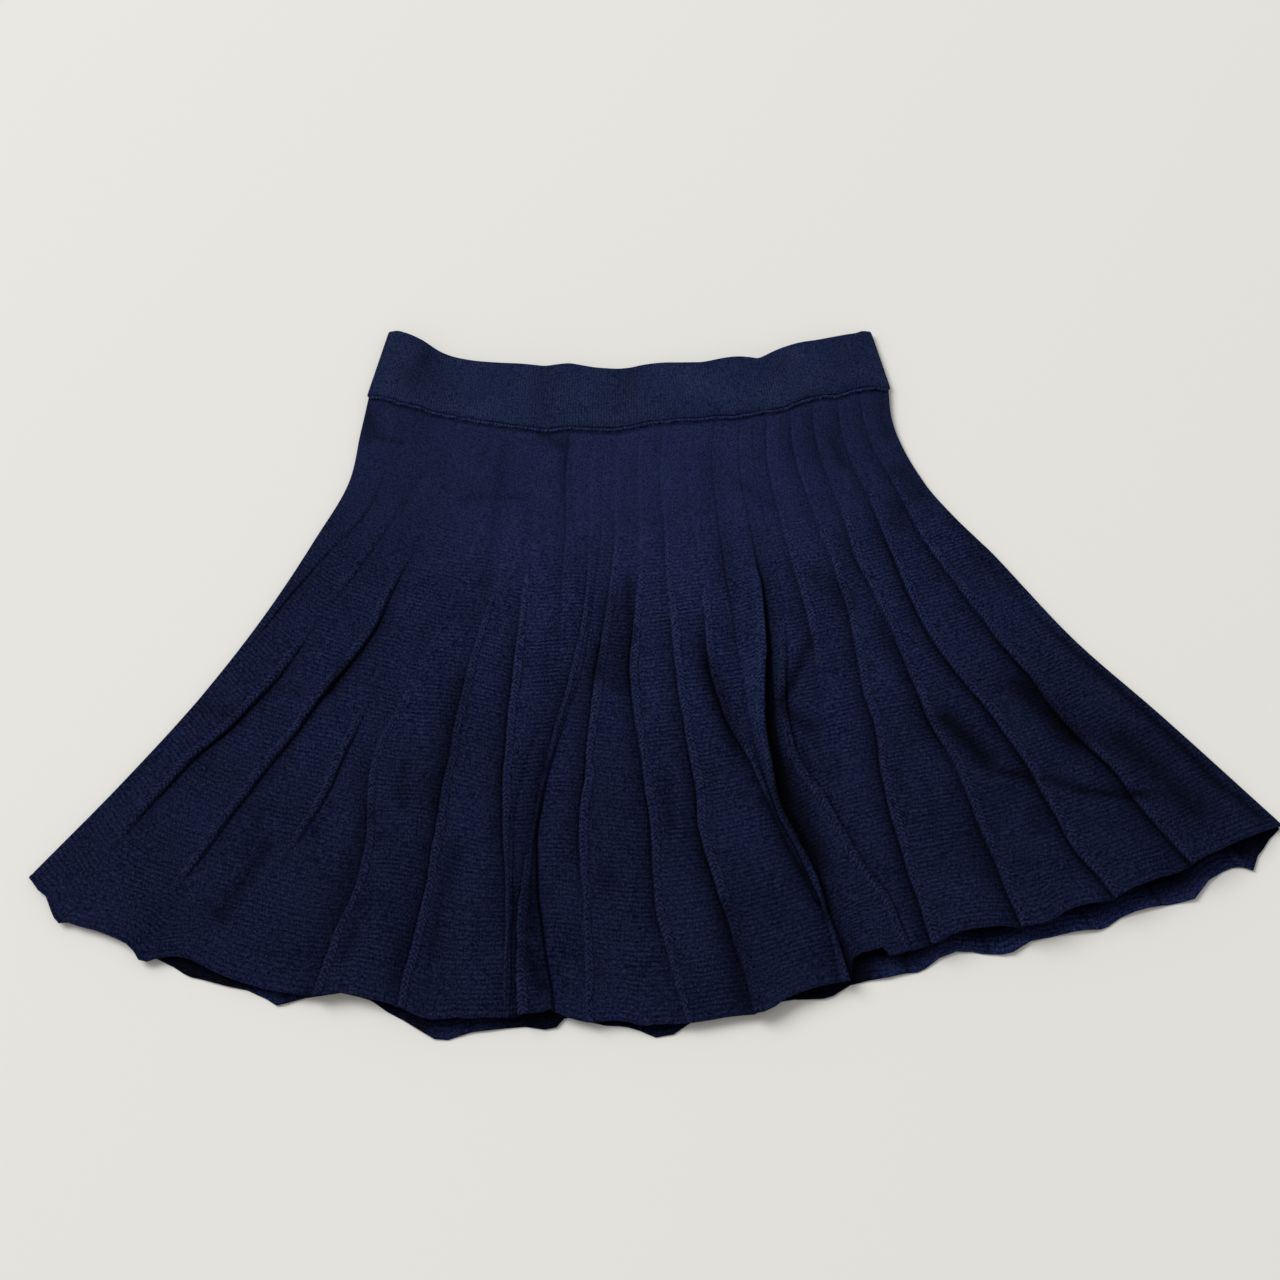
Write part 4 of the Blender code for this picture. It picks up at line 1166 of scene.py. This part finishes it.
def seam_roll():
    """The linked roll: a tube along the waist seam whose radius swells with a wave that winds
    round it once a loop, and whose middle wanders by two sines of the share across."""
    across = np.linspace(*ROLL_ENDS, ROLL_ROWS)
    seam = outline(WAIST_SEAM, across)
    along = np.gradient(seam, axis=0)
    step = np.linalg.norm(along, axis=-1, keepdims=True)
    run = distances(step[1:, 0])[:, None]
    along = along / step
    to_hem = np.stack([along[:, 1], -along[:, 0]], axis=-1)
    wander = sum(size * np.sin(TURN * waves * across + start) for size, waves, start in ROLL_WANDER) * MM
    height = FRONT_BASE + front_lift(across, np.zeros_like(across)) + ROLL_HEIGHT
    height = height + ROLL_RIPPLE * np.sin(TURN * ROLL_RIPPLES * across)
    turn = TURN * np.arange(ROLL_SIDES) / ROLL_SIDES
    wound = np.cos(TURN * run / ROLL_LOOP + turn)
    radius = ROLL_RADIUS * (1.0 + ROLL_SWELL * wound)
    out = ROLL_BELOW_SEAM + wander[:, None] + radius * np.cos(turn)
    plan = seam[:, None] + out[..., None] * to_hem[:, None]
    points = at_height(plan, height[:, None] + radius * np.sin(turn))
    uv = np.stack(np.broadcast_arrays(turn * ROLL_RADIUS, run / ROLL_LOOP), axis=-1)
    light = (ROLL_LIGHT + ROLL_LOOP_LIGHT * wound).reshape(-1)
    marks = {"light": light, "shown": np.full(light.size, ROLL_SHOWN)}
    faces = ring_faces(ROLL_ROWS, ROLL_SIDES, 0)
    return knit_object("seam_roll", points.reshape(-1, 3), faces, uv.reshape(-1, 2), marks, RIB_KNIT)


roll = seam_roll()
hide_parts("waist_seam")


# Waistband: a soft band of close rib knit, folded double at its top edge, with elastic in the
# fold. It is a tube of cloth that lies flat: a front half, a fold at each side and a back half.
BAND_EDGE = (
    (-16.4, 8.05), (-16.0, 8.05), (-15.5, 7.83), (-14.3, 7.12), (-12.9, 6.15), (-10.8, 5.52),
    (-8.8, 5.17), (-7.4, 5.02), (-6.5, 4.90), (-5.7, 4.82), (-4.9, 4.97), (-4.1, 5.09), (-3.2, 4.97),
    (-2.4, 4.85), (-1.6, 4.81), (-0.8, 4.80), (0.1, 4.91), (0.9, 5.11), (1.7, 5.21), (2.5, 5.23),
    (3.3, 5.17), (4.2, 5.11), (5.0, 5.09), (5.8, 5.24), (6.6, 5.42), (7.5, 5.54), (8.3, 5.52),
    (8.8, 5.47), (9.2, 5.66), (9.9, 6.07), (10.8, 6.50), (11.6, 6.80), (13.2, 7.14), (14.9, 7.54),
    (15.7, 7.80), (16.1, 8.02), (16.5, 8.05),
)
BAND_WALL = 2.4 * MM
BAND_MID_BACK = 1.2 * MM
BAND_MID_FRONT = 3.9 * MM
BAND_FOLD_STEPS = 9
BAND_STATIONS = 150
BAND_RISE_STEPS = 22
BAND_EDGE_STEPS = 6
BAND_GAP = 0.4 * MM

# Soft dents and swells of the front half: share across, share up, half widths and height in mm
BAND_SWELLS = (
    (0.10, 0.55, 0.050, 0.60, 0.9), (0.17, 0.60, 0.035, 0.50, -0.8), (0.26, 0.40, 0.060, 0.60, 0.6),
    (0.37, 0.70, 0.040, 0.50, -0.4), (0.46, 0.30, 0.050, 0.45, 0.5), (0.55, 0.65, 0.050, 0.50, -0.5),
    (0.66, 0.45, 0.060, 0.60, 0.5), (0.76, 0.65, 0.035, 0.55, -0.6), (0.86, 0.45, 0.050, 0.60, 0.7),
    (0.94, 0.50, 0.030, 0.60, -0.5),
)

# Painted light and shade where the band bends: share across, share up, half widths and change
BAND_LIGHTS = (
    (0.03, 0.50, 0.030, 0.60, -0.10), (0.14, 0.50, 0.100, 0.90, -0.07), (0.09, 0.75, 0.030, 0.25, -0.34),
    (0.08, 0.35, 0.040, 0.22, -0.26), (0.25, 0.45, 0.080, 0.50, 0.06), (0.33, 0.60, 0.020, 0.50, -0.22),
    (0.35, 0.12, 0.040, 0.12, -0.14), (0.42, 0.60, 0.040, 0.45, 0.22), (0.49, 0.70, 0.030, 0.40, -0.24),
    (0.62, 0.65, 0.060, 0.35, 0.10), (0.72, 0.60, 0.050, 0.35, 0.14), (0.80, 0.72, 0.030, 0.22, -0.24),
    (0.87, 0.75, 0.030, 0.20, 0.12), (0.93, 0.55, 0.040, 0.50, -0.10), (0.60, 0.06, 0.200, 0.06, -0.14),
    (0.93, 0.06, 0.060, 0.08, -0.22),
)


def soft_patches(table, across, up):
    """Sum of a table's patches: each one's size times a bell across and a bell up the band."""
    return sum(
        size * bell((across - where) / wide) * bell((up - share) / tall)
        for where, share, wide, tall, size in table
    )


def band_plan(across, up):
    """Points of the waistband from above, from just over the waist seam to its folded top edge."""
    seam = outline(WAIST_SEAM, across)
    edge = outline(BAND_EDGE, across)
    height = np.linalg.norm(edge - seam, axis=-1)
    share = (BAND_GAP + up * (height - BAND_GAP)) / height
    return seam + share[..., None] * (edge - seam)


def band_round():
    """The way of the band's middle surface round its flat tube: along the front half, round a half
    circle at the right side, back along the back half and round the left side.

    Returns each station's share across, how far the half circles bulge out, its height, and how
    much of it belongs to the front half.
    """
    front_across = np.linspace(0.0, 1.0, BAND_STATIONS)
    turn = np.linspace(0.0, np.pi, BAND_FOLD_STEPS + 2)[1:-1]
    half_gap = 0.5 * (BAND_MID_FRONT - BAND_MID_BACK)
    middle = BAND_MID_BACK + half_gap
    flat = np.zeros_like(front_across)
    lift = np.maximum(through(FRONT_LIFT[:, 0], FRONT_LIFT[:, 1], front_across), 0.0) * MM
    across = np.concatenate([front_across, np.ones_like(turn), front_across[::-1], np.zeros_like(turn)])
    bulge = half_gap * np.concatenate([flat, np.sin(turn), flat, -np.sin(turn)])
    height = np.concatenate([
        BAND_MID_FRONT + lift, middle + half_gap * np.cos(turn),
        BAND_MID_BACK + flat, middle - half_gap * np.cos(turn),
    ])
    on_front = np.concatenate([flat + 1.0, 0.5 + 0.5 * np.cos(turn), flat, 0.5 - 0.5 * np.cos(turn)])
    return across[:, None], bulge[:, None], height[:, None], on_front[:, None]


def waistband():
    """The band's wall: two faces beside its middle surface, joined by a rounded top edge and a
    rounded lower edge.

    One parameter runs round the tube. The other runs up the outer face, over the top edge, down
    the inner face and round the lower edge.
    """
    stations_across, bulge, height, on_front = band_round()
    up = np.linspace(0.0, 1.0, BAND_RISE_STEPS)
    across, share_up = np.broadcast_arrays(stations_across, up[None, :])
    plan = band_plan(across, share_up)
    plan[..., 0] += bulge
    mid = at_height(plan, height + on_front * soft_patches(BAND_SWELLS, across, share_up) * MM)
    round_it = np.concatenate([mid[-1:], mid, mid[:1]])
    normal = -grid_normals(round_it)[1:-1]
    rise = np.gradient(mid, axis=1)
    rise /= np.linalg.norm(rise, axis=-1, keepdims=True)
    half_wall = 0.5 * BAND_WALL
    outer = mid + half_wall * normal
    inner = mid - half_wall * normal
    over = np.linspace(0.0, np.pi, BAND_EDGE_STEPS + 2)[1:-1]

    def rounded(k, sign):
        """Points that go round an edge of the wall from its outer to its inner face."""
        around = half_wall * np.cos(over)[None, :, None] * normal[:, k][:, None]
        beyond = sign * half_wall * np.sin(over)[None, :, None] * rise[:, k][:, None]
        return mid[:, k][:, None] + around + beyond - sign * half_wall * rise[:, k][:, None]

    loop = np.concatenate([
        outer[:, 1:-1], rounded(-1, 1.0), inner[:, -2:0:-1], rounded(0, -1.0)[:, ::-1],
    ], axis=1)
    index = np.arange(loop[..., 0].size).reshape(loop.shape[:2])
    beside, after = np.roll(index, -1, axis=1), np.roll(index, -1, axis=0)
    faces = np.stack([index, beside, np.roll(after, -1, axis=1), after], axis=-1).reshape(-1, 4)
    along = distances(np.linalg.norm(np.diff(mid[:, 0], axis=0), axis=-1))
    way_round = distances(np.linalg.norm(np.diff(loop, axis=1), axis=-1).mean(axis=0))
    uv = np.stack(np.broadcast_arrays(along[:, None], way_round[None, :]), axis=-1)
    place = np.concatenate([up[1:-1], np.ones(len(over)), up[-2:0:-1], np.zeros(len(over))])
    light = 1.0 + soft_patches(BAND_LIGHTS, stations_across, place[None, :])
    marks = {"light": light.reshape(-1)}
    return knit_object("waistband", loop.reshape(-1, 3), faces, uv.reshape(-1, 2), marks, BAND_KNIT)


# The band's knit, in the same kinds of values as the body's
BAND_NAVY = (0.0112, 0.0167, 0.0492)
BAND_CHANGE = (0.0120, 0.0130, 0.0200)
BAND_WALE = 1.9 * MM
BAND_COURSE = 1.0 * MM
BAND_DRIFT = 0.9
BAND_DRIFT_FEATURES = 70.0
BAND_STITCH_LEAN = 0.5
BAND_WALE_RELIEF = 0.8
BAND_STITCH_RELIEF = 0.35
BAND_BUMP = (0.30 * MM, 0.6)
BAND_FUZZ = (950.0, 3.0)
BAND_FUZZ_BUMP = (0.25 * MM, 0.5)
BAND_PATCHES = (36.0, 2.0, 3.0, -1.0)
BAND_WALE_SHADE = (0.60, 0.74)
BAND_CLOUDS = (24.0, 3.0, 0.5, 0.75)
BAND_SPECKS = (760.0, 2.0, 4.2, -1.1)


def band_knit():
    """The band's knit: fine upright wales, a cosine of the way round the band over their pitch
    with a little drift, nearly smooth, and patchy as their stitches are."""
    s = Shading("band_knit")
    along, up = s.knit_place()
    drift = s.times(s.math("SUBTRACT", s.noise(BAND_DRIFT_FEATURES), 0.5), BAND_DRIFT)
    wales = s.ridge(s.add(s.math("DIVIDE", along, BAND_WALE), drift))
    stitches = s.ridge(s.add(s.math("DIVIDE", up, BAND_COURSE), s.times(wales, BAND_STITCH_LEAN)))
    relief = s.add(s.times(wales, BAND_WALE_RELIEF), s.times(stitches, BAND_STITCH_RELIEF))
    normal = s.bump(relief, *BAND_BUMP)
    normal = s.bump(s.noise(*BAND_FUZZ), *BAND_FUZZ_BUMP, normal)
    patchy = s.clamp(s.pattern(*BAND_PATCHES))
    shade = s.spread(s.times(wales, patchy), *BAND_WALE_SHADE)
    light = s.times(s.pattern(*BAND_CLOUDS), s.mark("light"))
    pattern = s.times(shade, s.pattern(*BAND_SPECKS))
    return s.finish(s.mottle(BAND_NAVY, BAND_CHANGE, pattern, light), normal)


BAND_KNIT = band_knit()
band = waistband()
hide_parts("waistband_front", "waistband_back")


# Floor and lights: a plain pale surface under soft, even studio light from above.
FLOOR_COLOUR = (0.80, 0.792, 0.755, 1.0)
HALF_FLOOR = 20.0
WORLD_COLOUR = (1.0, 0.995, 0.98, 1.0)
WORLD_STRENGTH = 0.45
SOFTBOX_ENERGY = 1345.0
SOFTBOX_SIZE = 7.7
SOFTBOX_PLACE = (-7.7, 5.1, 9.0)

floor_mesh = bpy.data.meshes.new("floor")
floor_corners = [(x * HALF_FLOOR, y * HALF_FLOOR, 0.0) for x, y in ((-1, -1), (1, -1), (1, 1), (-1, 1))]
floor_mesh.from_pydata(floor_corners, [], [(0, 1, 2, 3)])
floor_material = bpy.data.materials.new("floor")
floor_material.use_nodes = True
floor_shader = floor_material.node_tree.nodes["Principled BSDF"]
floor_shader.inputs["Base Color"].default_value = FLOOR_COLOUR
floor_shader.inputs["Roughness"].default_value = 1.0
floor_shader.inputs["Specular IOR Level"].default_value = 0.0
floor_mesh.materials.append(floor_material)
floor = add_object("floor", floor_mesh)

bpy.context.scene.view_settings.view_transform = "Standard"
world = bpy.data.worlds.new("studio")
world.use_nodes = True
background = world.node_tree.nodes["Background"]
background.inputs["Color"].default_value = WORLD_COLOUR
background.inputs["Strength"].default_value = WORLD_STRENGTH
bpy.context.scene.world = world

softbox_data = bpy.data.lights.new("softbox", "AREA")
softbox_data.energy = SOFTBOX_ENERGY
softbox_data.size = SOFTBOX_SIZE
softbox = add_object("softbox", softbox_data)
softbox.location = SOFTBOX_PLACE
softbox.rotation_mode = "QUATERNION"
softbox.rotation_quaternion = (softbox.location - CAMERA_TARGET).to_track_quat("Z", "Y")
